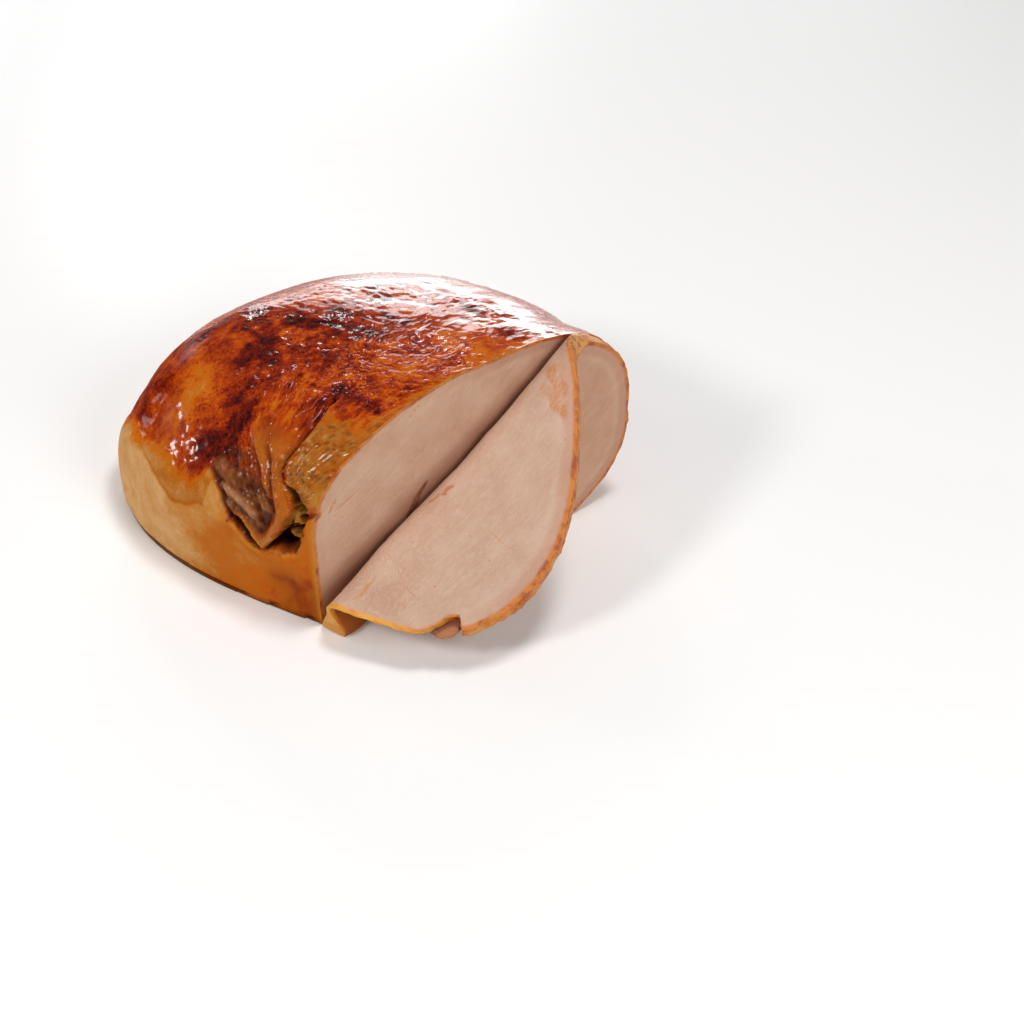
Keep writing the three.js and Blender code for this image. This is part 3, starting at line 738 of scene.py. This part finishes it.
def makeSlice(materials):
    turned = np.linspace(0, 2 * np.pi, fineSteps)
    y, z = sectionPoint(turned, np.zeros(turned.shape))
    z = np.maximum(z, 0)
    pace = np.hypot(np.gradient(y), np.gradient(z)) / np.gradient(turned)
    picked = evenly(turned, pace, sliceForm["outlinePoints"], closed=True)
    outlineY, outlineZ = sectionPoint(picked, np.zeros(picked.shape))
    outlineZ = np.maximum(outlineZ, 0)
    columns = len(picked)

    share = np.linspace(0, 1, sliceForm["faceRings"] + 1)[1:] ** 1.25
    middleY = loaf["faceHalfWidth"]
    middleZ = loaf["waistHeight"]
    rows = []

    def row(inward, side):
        flatY = middleY + (outlineY - middleY) * (1 - inward)
        flatZ = middleZ + (outlineZ - middleZ) * (1 - inward)
        rows.append((flatY, flatZ, np.full(columns, float(side))))

    for inward in share[:-1][::-1]:
        row(inward, -1)
    edgeSides = np.sin(np.linspace(-0.5, 0.5, sliceForm["rimRows"]) * np.pi)
    for side in edgeSides:
        row(-0.006 * (1 - side**2), side)
    for inward in share[:-1]:
        row(inward, 1)
    flatY = np.concatenate([r[0] for r in rows] + [[middleY, middleY]])
    flatZ = np.concatenate([r[1] for r in rows] + [[middleZ, middleZ]])
    side = np.concatenate([r[2] for r in rows] + [[-1.0, 1.0]])

    outline = np.stack([outlineY, outlineZ], -1)
    away = outlineDistance(np.stack([flatY, flatZ], -1), outline)
    rimRow = np.abs(side) < 0.999

    flat = np.stack([side * 4, flatY, flatZ], -1)
    plain = slicePoint(flatY, flatZ, side)
    alongCut, acrossCut = toFold(flatY, flatZ)
    curly = smooth(70, 20, flatY) * smooth(60, 40, flatZ)
    curlPlace = flat * [1, 0.9, 1.2] + 3 * cellNoise(flat, 9, 57)[:, None]
    curls = ridges(layeredNoise(curlPlace, 3.4, 56, 2), 2) - 0.3
    bumps = 0.26 * layeredNoise(flat, 13, 51) * smooth(1, 8, away) + 0.1 * layeredNoise(flat, 5, 52, 2)
    bumps += 0.12 * curly * curls * smooth(1, 5, away)
    outwardStep = slicePoint(flatY, flatZ, side + 0.01 * np.sign(side + 1e-9)) - plain
    lengths = np.linalg.norm(outwardStep, axis=1, keepdims=True) + 1e-9
    points = plain + outwardStep / lengths * (bumps * (np.abs(side) > 0.9))[:, None]
    ragged = 0.5 * layeredNoise(flat, 4, 53) * smooth(1.5, 0, away) * (flatZ > 1)
    ragged += 1.3 * layeredNoise(flat, 3, 58, 2) * smooth(6, 0, away) * bell(flatZ, 61, 9) * (flatY < 20)
    inwardY = middleY - flatY
    inwardZ = middleZ - flatZ
    reach = np.hypot(inwardY, inwardZ) + 1e-9
    shifted = slicePoint(flatY + inwardY / reach * ragged, flatZ + inwardZ / reach * ragged, side)
    points += shifted - plain
    points[:, 2] = np.maximum(points[:, 2], 0)
    points[:, 0] = np.maximum(points[:, 0], sliceForm["cutGap"])

    faces = gridFaces(len(rows), columns)
    backCentre = len(rows) * columns
    faces += capFaces(0, columns, backCentre)
    faces += capFaces((len(rows) - 1) * columns, columns, backCentre + 1)
    # The skin round the slice is golden at the foot and along the low edge, and browner further up.
    lowEdge = smooth(54, 44, flatZ) * smooth(60, 20, flatY)
    stripLevel = 0.45 + 0.17 * layeredNoise(flat, 5, 54, 2) - 0.06 * smooth(120, 150, flatY)
    stripLevel -= 0.12 * smooth(88, 72, flatZ) * smooth(40, 15, flatY)
    stripLevel = stripLevel * (1 - lowEdge) + (0.34 + 0.07 * layeredNoise(flat, 5, 55)) * lowEdge
    golden = lowEdge * (0.4 + 0.6 * smooth(10, 17, flatZ)) * (0.85 + 0.3 * layeredNoise(flat, 3, 59, 2))
    attributes = {
        "rimAway": np.where(rimRow, 0, away),
        "skinStrip": np.where(rimRow, 1.0, 0.0) * (flatZ > 0.5),
        "stripLevel": stripLevel,
        "apex": bell(flatY, 134, 9) * bell(flatZ, 93, 9),
        "goldenEdge": golden,
        "pinkish": np.where(side > 0, 1, 0.75 * smooth(40, 70, flatZ) * smooth(5, 30, flatY)),
        # Painted shade: the flap's face is darkened at the crevice of the fold.
        "deep": np.where(side > 0, 0, smooth(4, -6, acrossCut) * 0.6),
        "alongCut": alongCut,
        "acrossCut": acrossCut,
        "flatY": flatY,
        "flatZ": flatZ,
        "curly": curly * (side < 0),
        "fromLoaf": (side < 0) * 1.0,
        # Painted shade: the front of the foot, under the flap, is darkened brown.
        "footShade": (side > 0) * smooth(34, 18, flatY) * smooth(26, 12, flatZ),
    }
    piece = makeObject("foldedSlice", points, faces, attributes, materials, sharpFrom=70)
    print("folded slice:", len(faces), "faces")
    return piece


curledTip = {
    # A loose tip of meat that lies in the notch of the flap, in flat sizes of the slice.
    "from": 53,
    "to": 69,
    "outer": 2.2,
    "inner": 12.5,
    "middle": 0.15,
    "halfThickness": 0.42,
    "rows": 44,
    "columns": 36,
}


def makeCurledTip(materials):
    rows = curledTip["rows"]
    columns = curledTip["columns"]
    run = (1 - np.cos(np.linspace(0, np.pi, rows))) / 2
    turn = np.linspace(0, 2 * np.pi, columns, endpoint=False)
    run, turn = np.meshgrid(run, turn, indexing="ij")
    rounded = (1 - np.abs(2 * run - 1) ** 6) ** 0.5
    outer = curledTip["outer"] + 30 * np.abs(run - 0.42) ** 2.6
    wide = (curledTip["inner"] - outer) / 2
    middleY = (curledTip["inner"] + outer) / 2
    flatZ = curledTip["from"] + (curledTip["to"] - curledTip["from"]) * run
    swell = 1 + 0.12 * layeredNoise(drawnPlaces(turn * 2.0, flatZ, 5.0), 3, 61, 2)
    flatY = middleY + wide * rounded * np.cos(turn) * swell
    thick = curledTip["halfThickness"] * (0.25 + 0.75 * rounded) * swell
    side = curledTip["middle"] + 0.25 * np.sin(run * 5) + thick * np.sin(turn)
    points = slicePoint(flatY.ravel(), flatZ.ravel(), side.ravel(), notched=False)
    faces = gridFaces(rows, columns)
    count = rows * columns
    ends = [points[:columns].mean(0), points[-columns:].mean(0)]
    points = np.concatenate([points, ends])
    faces += capFaces(0, columns, count)
    faces += capFaces((rows - 1) * columns, columns, count + 1)
    cutEdge = sliceForm["notchDepth"] * notchAt(flatZ)
    # Painted shade: the tip is darkened along its seam with the notch's cut edge and at both ends.
    tipEdgeShade = 0.9 * bell(flatY, cutEdge - 0.6, 1.3)
    tipEdgeShade += 0.9 * smooth(0.86, 0.97, run) + 0.5 * smooth(0.2, 0.02, run)
    golden = smooth(4, 0, flatY)
    attributes = {
        "tipEdgeShade": np.concatenate([tipEdgeShade.ravel(), [0.5, 0.9]]),
        "golden": np.concatenate([golden.ravel(), [0.3, 0.3]]),
    }
    piece = makeObject("curledMeatTip", points, faces, attributes, materials)
    print("curled tip:", len(faces), "faces")
    return piece


def newMaterial(name):
    # The helpers below add their nodes to the material that was made last.
    global tree
    material = bpy.data.materials.new(name)
    material.use_nodes = True
    tree = material.node_tree
    return material, tree.nodes["Principled BSDF"]


def setInputs(node, inputs):
    for name, value in inputs.items():
        if isinstance(value, bpy.types.NodeSocket):
            tree.links.new(value, node.inputs[name])
        else:
            node.inputs[name].default_value = value


def shaderNode(kind, inputs, **settings):
    node = tree.nodes.new(kind)
    for name, value in settings.items():
        setattr(node, name, value)
    setInputs(node, inputs)
    return node


def attributeOf(name):
    return shaderNode("ShaderNodeAttribute", {}, attribute_name=name).outputs["Fac"]


def objectPlace():
    return shaderNode("ShaderNodeTexCoord", {}).outputs["Object"]


def combine(x, y):
    return shaderNode("ShaderNodeCombineXYZ", {"X": x, "Y": y}).outputs[0]


def noiseFrom(vector, scale, detail=3.0, roughness=0.55, distortion=0.0):
    inputs = {"Vector": vector, "Scale": scale, "Detail": detail, "Roughness": roughness}
    return shaderNode("ShaderNodeTexNoise", inputs | {"Distortion": distortion}).outputs["Fac"]


def drawnNoise(along, across, drawing, *settings):
    # A noise drawn out one way, with so many lumps a millimetre along and across.
    lying = combine(times(along, drawing[0]), times(across, drawing[1]))
    return noiseFrom(lying, 1.0, *settings)


def cellsFrom(vector, scale):
    return shaderNode("ShaderNodeTexVoronoi", {"Vector": vector, "Scale": scale}).outputs["Distance"]


def between(value, low, high, toLow=0.0, toHigh=1.0):
    inputs = {"Value": value, "From Min": low, "From Max": high, "To Min": toLow, "To Max": toHigh}
    return shaderNode("ShaderNodeMapRange", inputs, clamp=True).outputs["Result"]


def compute(operation, first, second=0.0):
    return shaderNode("ShaderNodeMath", {0: first, 1: second}, operation=operation).outputs[0]


def joined(operation, values):
    total = values[0]
    for value in values[1:]:
        total = compute(operation, total, value)
    return total


def added(*values):
    return joined("ADD", values)


def times(*values):
    return joined("MULTIPLY", values)


def inverse(value):
    return compute("SUBTRACT", 1.0, value)


def centred(value, amount):
    # A noise from 0 to 1 turned into a change up or down.
    return times(compute("SUBTRACT", value, 0.5), amount)


def ramp(factor, stops):
    node = shaderNode("ShaderNodeValToRGB", {"Fac": factor})
    elements = node.color_ramp.elements
    while len(elements) < len(stops):
        elements.new(0.5)
    for element, (position, colour) in zip(elements, stops):
        element.position = position
        element.color = (*colour, 1)
    return node.outputs["Color"]


def mixColours(factor, first, second, blend="MIX"):
    node = shaderNode("ShaderNodeMix", {}, data_type="RGBA", blend_type=blend)
    for index, value in zip((0, 6, 7), (factor, first, second)):
        setInputs(node, {index: (*value, 1) if isinstance(value, tuple) else value})
    return node.outputs[2]


def bumpOf(height, strength, distance, normal=None):
    inputs = {"Height": height, "Strength": strength, "Distance": distance}
    if normal is not None:
        inputs["Normal"] = normal
    return shaderNode("ShaderNodeBump", inputs).outputs["Normal"]


browned = {
    # How browned the skin is, and its colour.
    "stops": [
        (0.00, (0.64, 0.36, 0.15)),
        (0.16, (0.54, 0.225, 0.048)),
        (0.30, (0.48, 0.130, 0.010)),
        (0.42, (0.52, 0.115, 0.004)),
        (0.54, (0.42, 0.054, 0.003)),
        (0.66, (0.26, 0.022, 0.003)),
        (0.78, (0.13, 0.008, 0.003)),
        (0.90, (0.04, 0.004, 0.003)),
        (1.00, (0.010, 0.003, 0.003)),
    ],
    "dot": (0.11, 0.02, 0.004),
    "dotCover": 0.55,
    # Each noise: scale, detail, roughness and distortion. The scale of a drawn noise has two parts.
    "mottle": (240, 5, 0.62),
    "fine": (900, 4, 0.6),
    "grain": (420, 3, 0.55),
    "threads": (0.9, 3, 0.55, 0.6),
    "crinkle": ((0.17, 0.55), 3, 0.5, 0.8),
    "speckScale": 430.0,
    # How much each of them darkens or lightens the skin.
    "mottleChange": 0.55,
    "fineChange": 0.42,
    "threadChange": 0.55,
    # The crinkle colours the wrinkle crests paler and their hollows darker: painted light and shade.
    "crinkleLightAndShade": -0.5,
    "speckChange": 0.17,
    "bareChange": 0.32,  # the share of it that shows on bare meat
    "skinRoughness": 0.4,
    "bareRoughness": 0.5,
    "glazeRoughness": 0.12,
}


def skinMaterial():
    material, shader = newMaterial("brownedSkin")
    here = objectPlace()
    bare = attributeOf("bare")
    covered = inverse(bare)
    stretched = attributeOf("stretched")
    wrinkled = attributeOf("wrinkled")
    pit = attributeOf("pit")
    wrinkleAlong = attributeOf("wrinkleAlong")
    wrinkleAcross = attributeOf("wrinkleAcross")

    mottle = noiseFrom(here, *browned["mottle"])
    fine = noiseFrom(here, *browned["fine"])
    fan = combine(attributeOf("fanAcross"), times(attributeOf("fanReach"), 0.12))
    threads = noiseFrom(fan, *browned["threads"])
    crinkle = drawnNoise(wrinkleAlong, wrinkleAcross, *browned["crinkle"])
    speckPatch = between(noiseFrom(here, 90, 2), 0.46, 0.62)
    speck = times(between(cellsFrom(here, browned["speckScale"]), 0.14, 0.36, 1, 0), speckPatch)
    # Dark dots on the yellow skin beside the tear.
    dotPlace = combine(
        added(times(wrinkleAlong, 0.24), centred(mottle, 0.9)),
        added(times(wrinkleAcross, 0.36), centred(fine, 0.5)))
    dots = added(cellsFrom(dotPlace, 1.0), centred(mottle, 0.8))
    dot = times(between(dots, 0.16, 0.56, 1, 0), attributeOf("lobe"), browned["dotCover"])

    change = added(
        centred(mottle, browned["mottleChange"]),
        centred(fine, browned["fineChange"]),
        times(centred(threads, browned["threadChange"]), stretched),
        # Painted light and shade: raised crinkles paler, their hollows darker.
        times(centred(crinkle, browned["crinkleLightAndShade"]), wrinkled),
        times(speck, browned["speckChange"]))
    change = times(change, between(bare, 0, 1, 1, browned["bareChange"]), inverse(attributeOf("calm")))
    colour = ramp(added(attributeOf("browning"), change), browned["stops"])
    colour = mixColours(dot, colour, browned["dot"])
    colour = mixColours(attributeOf("dimmed"), colour, (0, 0, 0))
    paint = shaderNode("ShaderNodeAttribute", {}, attribute_name="paint")
    paintChange = added(centred(fine, 0.9), centred(mottle, 0.7), 1.0)
    varied = mixColours(1.0, paint.outputs["Color"], paintChange, "MULTIPLY")
    colour = mixColours(paint.outputs["Alpha"], colour, (0, 0, 0))
    colour = mixColours(1.0, colour, varied, "ADD")

    rough = added(
        between(covered, 0, 1, browned["bareRoughness"], browned["skinRoughness"]),
        centred(mottle, 0.3),
        times(pit, 0.5))
    normal = bumpOf(noiseFrom(here, *browned["grain"]), times(covered, 0.3), 0.0008)
    normal = bumpOf(crinkle, times(wrinkled, 0.6), 0.001, normal)
    normal = bumpOf(threads, times(stretched, 0.6), 0.0008, normal)
    setInputs(shader, {
        "Base Color": colour,
        "Roughness": rough,
        "Specular IOR Level": 0.0,
        "Coat Weight": times(attributeOf("glaze"), inverse(pit)),
        "Coat Roughness": browned["glazeRoughness"],
        "Subsurface Weight": 0.06,
        "Subsurface Radius": (1.0, 0.35, 0.15),
        "Subsurface Scale": 0.003,
        "Normal": normal,
    })
    return material


meat = {
    "pale": (0.66, 0.435, 0.305),
    "dark": (0.55, 0.32, 0.205),
    # Tints that dim the flap and the front of the slice: painted shade, the front one also warmer.
    "flapShadeTint": (0.86, 0.875, 0.93),
    "frontShadeTint": (0.87, 0.78, 0.72),
    "grain": (0.41, 0.21, 0.10),
    "paleGrain": (0.74, 0.52, 0.375),
    "grainSpacing": 0.018,
    # Each noise: scale, detail, roughness and distortion. The scale of a drawn noise has two parts.
    "fibreNoise": ((0.05, 0.36), 5, 0.6, 0.9),
    "fineNoise": ((0.3, 1.2), 4, 0.65, 1.6),
    "curlNoise": ((0.042, 0.07), 1, 0.4, 0.7),
    "cloudNoise": (45, 4, 0.55),
    # The brown of the painted shade on the foot's front, under the flap.
    "footShadeBrown": (0.36, 0.085, 0.006),
    "golden": (0.76, 0.35, 0.045),
    "pinkBand": (0.50, 0.25, 0.17),
    "paleLine": (0.70, 0.50, 0.38),
    "rim": (0.58, 0.185, 0.016),
    "rimDark": (0.34, 0.055, 0.007),
    "stripStops": [(0.20, (0.64, 0.31, 0.07)), (0.38, (0.60, 0.21, 0.022)), (0.54, (0.46, 0.105, 0.008)),
                   (0.68, (0.24, 0.032, 0.004)), (0.84, (0.06, 0.010, 0.003))],
    "apexPale": (0.62, 0.33, 0.15),
    "apexSpot": (0.13, 0.03, 0.012),
    # The colour of the painted shade in the crevice at the fold.
    "deep": (0.37, 0.17, 0.105),
    "stain": (0.52, 0.165, 0.026),
    "vessel": (0.40, 0.12, 0.045),
    "faceVessel": (0.19, 0.055, 0.022),
    "slit": (0.56, 0.22, 0.05),
    "roughness": (0.37, 0.57),
    # Marks on the cut, each by two ends in y and z and a half width.
    "faceVessels": [((60, 52), (54, 45), 1.5), ((55, 46), (50, 37), 2.4)],
    "faceTears": [((13, 66), (9, 60), 0.9), ((22, 64), (12, 60), 0.5)],
    "flapSlits": [((18.5, 32.5), (14, 30.5), 0.3), ((14.5, 30.7), (9.5, 28.8), 0.62),
                  ((10, 29), (6, 26), 0.3), ((17, 45), (14, 51), 0.24), ((11, 42), (9, 47), 0.24),
                  ((24, 40), (20, 44), 0.2)],
    "flapScratches": [((51, 72), (47, 79), 0.35), ((47, 79), (46, 83), 0.35)],
    "flapVessels": [((66, 54), (61, 50.5), 0.8), ((61.5, 50.5), (55, 45), 0.4)],
    "stains": [((121, 92), (111, 95), 4.2), ((112, 89), (108, 95), 3.2)],
}


def stroke(y, z, mark):
    # A short mark between two places of the cut, fading at its ends.
    (y0, z0), (y1, z1), width = mark
    length = math.hypot(y1 - y0, z1 - z0)
    dirY = (y1 - y0) / length
    dirZ = (z1 - z0) / length
    fromY = compute("SUBTRACT", y, (y0 + y1) / 2)
    fromZ = compute("SUBTRACT", z, (z0 + z1) / 2)
    along = times(added(times(fromY, dirY), times(fromZ, dirZ)), 1 / (length / 2 + width))
    across = times(compute("SUBTRACT", times(fromZ, dirY), times(fromY, dirZ)), 1 / width)
    pastEnds = compute("POWER", compute("ABSOLUTE", along), 4.0)
    return between(compute("SQRT", added(pastEnds, times(across, across))), 1.0, 0.55)


def strokes(y, z, marks):
    return joined("MAXIMUM", [stroke(y, z, mark) for mark in marks])


def meatMaterial(name, isSlice):
    material, shader = newMaterial(name)
    here = objectPlace()
    rimAway = attributeOf("rimAway")
    along = attributeOf("alongCut")
    across = attributeOf("acrossCut")
    fibre = drawnNoise(along, across, *meat["fibreNoise"])
    fine = drawnNoise(along, across, *meat["fineNoise"])
    cloud = noiseFrom(here, *meat["cloudNoise"])
    if isSlice:
        curly = attributeOf("curly")
        curl = drawnNoise(along, across, *meat["curlNoise"])
        fibre = added(times(fibre, inverse(curly)), times(curl, curly))
    tone = added(0.55, centred(fibre, 0.45), centred(cloud, 0.9), centred(fine, 0.6))
    colour = mixColours(between(tone, 0.28, 0.72), meat["dark"], meat["pale"])
    colour = mixColours(times(between(fine, 0.56, 0.68), 0.55), colour, meat["paleLine"])

    y = added(attributeOf("flatY"), centred(fine, 2.0))
    z = added(attributeOf("flatZ"), centred(noiseFrom(here, 300, 2), 3.0))
    if isSlice:
        flap = attributeOf("fromLoaf")
        # Painted shade: each side of the slice is dimmed by its own tint, the front one also made warmer.
        shadeTint = mixColours(flap, meat["frontShadeTint"], meat["flapShadeTint"])
        colour = mixColours(1.0, colour, shadeTint, "MULTIPLY")
        # Fine curled lines, dark and pale in turn.
        spacing = meat["grainSpacing"]
        line = compute("PINGPONG", curl, spacing)
        broken = between(fine, 0.4, 0.56)
        darkGrain = times(between(line, 0.0, 0.008, 1, 0), curly, broken, 0.24)
        colour = mixColours(darkGrain, colour, meat["grain"])
        paleGrain = times(between(line, spacing / 2, spacing), curly, broken, 0.2)
        colour = mixColours(paleGrain, colour, meat["paleGrain"])
        stainY = added(y, centred(cloud, 18))
        stainZ = added(z, centred(noiseFrom(here, 120), 14))
        streaky = between(added(fine, centred(cloud, 0.6)), 0.4, 0.6)
        stain = times(strokes(stainY, stainZ, meat["stains"]), flap, streaky, 0.85)
        colour = mixColours(stain, colour, meat["stain"])
        vessel = times(strokes(y, z, meat["flapVessels"]), flap, 0.7)
        colour = mixColours(vessel, colour, meat["vessel"])
        slits = times(strokes(y, z, meat["flapSlits"]), flap)
        scratches = times(strokes(y, z, meat["flapScratches"]), flap)
        colour = mixColours(times(slits, 0.75), colour, meat["slit"])
        colour = mixColours(times(scratches, 0.4), colour, meat["slit"])
        cuts = added(slits, times(scratches, 0.5))
    else:
        cuts = strokes(y, z, meat["faceTears"])
        colour = mixColours(times(cuts, 0.6), colour, meat["slit"])
    pore = times(between(cellsFrom(here, 170.0), 0.07, 0.13, 1, 0), between(cloud, 0.5, 0.56), 0.7)
    colour = mixColours(pore, colour, meat["slit"])

    # Under the skin runs a pinkish band, and inside it a pale line.
    wavedRim = added(rimAway, centred(noiseFrom(here, 120, 3), 3.0))
    pinkish = attributeOf("pinkish")
    pink = times(between(wavedRim, 7.0, 4.4), between(wavedRim, 0.6, 1.8), pinkish, 0.62)
    colour = mixColours(pink, colour, meat["pinkBand"])
    paleBand = times(between(wavedRim, 5.6, 7.4), between(wavedRim, 10.4, 7.9), pinkish, 0.14)
    colour = mixColours(paleBand, colour, meat["paleLine"])
    # Painted shade darkens the meat towards the crevice at the fold.
    colour = mixColours(attributeOf("deep"), colour, meat["deep"])
    if isSlice:
        # Painted shade in brown on the foot's front, under the flap.
        colour = mixColours(attributeOf("footShade"), colour, meat["footShadeBrown"])
    else:
        vessel = times(strokes(y, z, meat["faceVessels"]), between(fine, 0.25, 0.52), 0.95)
        colour = mixColours(vessel, colour, meat["faceVessel"])
    rimColour = mixColours(between(noiseFrom(here, 170, 4, 0.6), 0.46, 0.62), meat["rim"], meat["rimDark"])
    if isSlice:
        golden = attributeOf("goldenEdge")
        rimColour = mixColours(golden, rimColour, meat["golden"])
    rimWave = added(rimAway, centred(noiseFrom(here, 260, 3), 1.2))
    colour = mixColours(times(between(rimWave, 2.4, 1.2), 0.9), colour, rimColour)
    if isSlice:
        stripTone = added(
            attributeOf("stripLevel"),
            centred(noiseFrom(here, 260, 4, 0.6), 0.6),
            centred(noiseFrom(here, 800, 3), 0.4))
        stripColour = mixColours(golden, ramp(stripTone, meat["stripStops"]), meat["golden"])
        spots = between(cellsFrom(here, 620.0), 0.25, 0.55, 0.85, 0)
        apexColour = mixColours(spots, meat["apexPale"], meat["apexSpot"])
        stripColour = mixColours(attributeOf("apex"), stripColour, apexColour)
        colour = mixColours(between(attributeOf("skinStrip"), 0.3, 0.6), colour, stripColour)

    normal = bumpOf(fibre, 0.25, 0.0012)
    normal = bumpOf(fine, 0.25, 0.0005, normal)
    setInputs(shader, {
        "Base Color": colour,
        "Roughness": between(fine, 0.3, 0.7, *meat["roughness"]),
        "Specular IOR Level": 0.22,
        "Subsurface Weight": 0.25,
        "Subsurface Radius": (1.0, 0.5, 0.3),
        "Subsurface Scale": 0.003,
        "Normal": bumpOf(inverse(cuts), 0.3, 0.0006, normal),
    })
    return material


tipShades = {
    "streakNoise": (330, 4, 0.6, 1.0),
    "meat": (0.36, 0.115, 0.028),
    "pale": (0.48, 0.21, 0.085),
    # Dark of the painted shade at the tip's seams, and of its darker streaks.
    "dark": (0.13, 0.025, 0.007),
    "golden": (0.46, 0.16, 0.022),
}


def tipMaterial():
    material, shader = newMaterial("curledMeat")
    here = objectPlace()
    streak = noiseFrom(here, *tipShades["streakNoise"])
    fine = noiseFrom(here, 900, 3, 0.6)
    colour = mixColours(between(streak, 0.4, 0.68), tipShades["meat"], tipShades["pale"])
    golden = times(attributeOf("golden"), between(streak, 0.3, 0.6))
    colour = mixColours(golden, colour, tipShades["golden"])
    # Painted shade at the tip's seams, together with the darker meat of its streaks.
    dark = added(attributeOf("tipEdgeShade"), centred(streak, 1.2), 0.14)
    colour = mixColours(times(between(dark, 0.12, 0.7), 0.85), colour, tipShades["dark"])
    setInputs(shader, {
        "Base Color": colour,
        "Roughness": between(fine, 0.3, 0.7, 0.35, 0.55),
        "Subsurface Weight": 0.15,
        "Subsurface Radius": (1.0, 0.45, 0.25),
        "Subsurface Scale": 0.002,
        "Normal": bumpOf(added(streak, times(fine, 0.4)), 0.4, 0.0008),
    })
    return material


skinLook = skinMaterial()
faceLook = meatMaterial("cutMeat", False)
sliceLook = meatMaterial("slicedMeat", True)
print("materials made")

roast = makeRoast([skinLook, faceLook])
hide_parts("roast")
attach(roast, "root")

foldedSlice = makeSlice([sliceLook])
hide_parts("slice")
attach(foldedSlice, "root")

tip = makeCurledTip([tipMaterial()])
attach(tip, "root")

studio = {
    "floorHalf": 3.0,
    "floorDrop": 0.0003,  # just below the base, so that the two don't share a plane
    "floorColour": (0.93, 0.925, 0.92, 1),
    "turn": 52.4,  # degrees: 0 looks along +Y
    "height": 40,
    "cameraPlace": (0.7092, -0.4756, 0.7133),
    "halfView": 12.1,
    "sensorWidth": 36,
    "worldStrength": 0.15,
    # Lights: turn and height in degrees, distance, size, power and colour. The size is a disc's width,
    # or a panel's width and height.
    "lights": {
        "backPanel": (233, 4.8, 1.7, (1.2, 0.27), 10),
        "middlePanel": (238, 15, 1.7, (0.46, 0.2), 1.8),
        "topSpark": (240, 34, 1.4, 0.05, 0.45),
        "middleSpark": (248, 26, 1.4, 0.05, 0.45),
        "leftSpark": (254, 13, 1.5, 0.06, 0.5),
        "lavenderSpark": (272, 41, 1.4, 0.06, 0.45, (0.9, 0.86, 1)),
        "leftPanel": (268, 6, 1.3, 0.24, 0.3, (1, 0.9, 0.95)),
        "leftStrip": (302, 12, 1.3, 0.15, 2),
        "roofSoftbox": (150, 78, 1.5, 0.4, 9),
        "frontSoftbox": (0, 42, 1.5, 0.32, 8, (1, 0.985, 0.96)),
        "rightSoftbox": (92, 34, 1.6, 0.8, 10.5),
    },
}

half = studio["floorHalf"]
floorMesh = bpy.data.meshes.new("floor")
corners = [(-half, -half, 0), (half, -half, 0), (half, half, 0), (-half, half, 0)]
floorMesh.from_pydata(corners, [], [(0, 1, 2, 3)])
floor = bpy.data.objects.new("floor", floorMesh)
floor.location.z = -studio["floorDrop"]
bpy.context.scene.collection.objects.link(floor)
floorLook, floorShader = newMaterial("paleFloor")
setInputs(floorShader, {"Base Color": studio["floorColour"], "Roughness": 0.3})
floorMesh.materials.append(floorLook)


def directionTo(turn, height):
    turn = math.radians(turn)
    height = math.radians(height)
    return Vector((math.sin(turn) * math.cos(height), -math.cos(turn) * math.cos(height), math.sin(height)))


def addLight(name, turn, height, distance, size, power, colour=(1, 1, 1)):
    light = bpy.data.lights.new(name, "AREA")
    if isinstance(size, tuple):
        light.shape = "RECTANGLE"
        light.size, light.size_y = size
    else:
        light.shape = "DISK"
        light.size = size
    light.energy = power
    light.color = colour
    lamp = bpy.data.objects.new(name, light)
    lamp.location = directionTo(turn, height) * distance
    lamp.rotation_euler = directionTo(turn, height).to_track_quat("Z", "Y").to_euler()
    bpy.context.scene.collection.objects.link(lamp)


camera = bpy.data.objects.new("camera", bpy.data.cameras.new("camera"))
camera.data.sensor_width = studio["sensorWidth"]
camera.data.lens = studio["sensorWidth"] / 2 / math.tan(math.radians(studio["halfView"]))
camera.data.clip_start = 0.05
camera.rotation_euler = Euler((math.radians(90 - studio["height"]), 0, math.radians(studio["turn"])))
camera.location = Vector(studio["cameraPlace"])
bpy.context.scene.collection.objects.link(camera)
bpy.context.scene.camera = camera

world = bpy.data.worlds.new("studio")
world.use_nodes = True
background = world.node_tree.nodes["Background"]
background.inputs["Color"].default_value = (1, 1, 1, 1)
background.inputs["Strength"].default_value = studio["worldStrength"]
bpy.context.scene.world = world
bpy.context.scene.view_settings.view_transform = "Standard"
for name, placing in studio["lights"].items():
    addLight(name, *placing)
print("studio set")
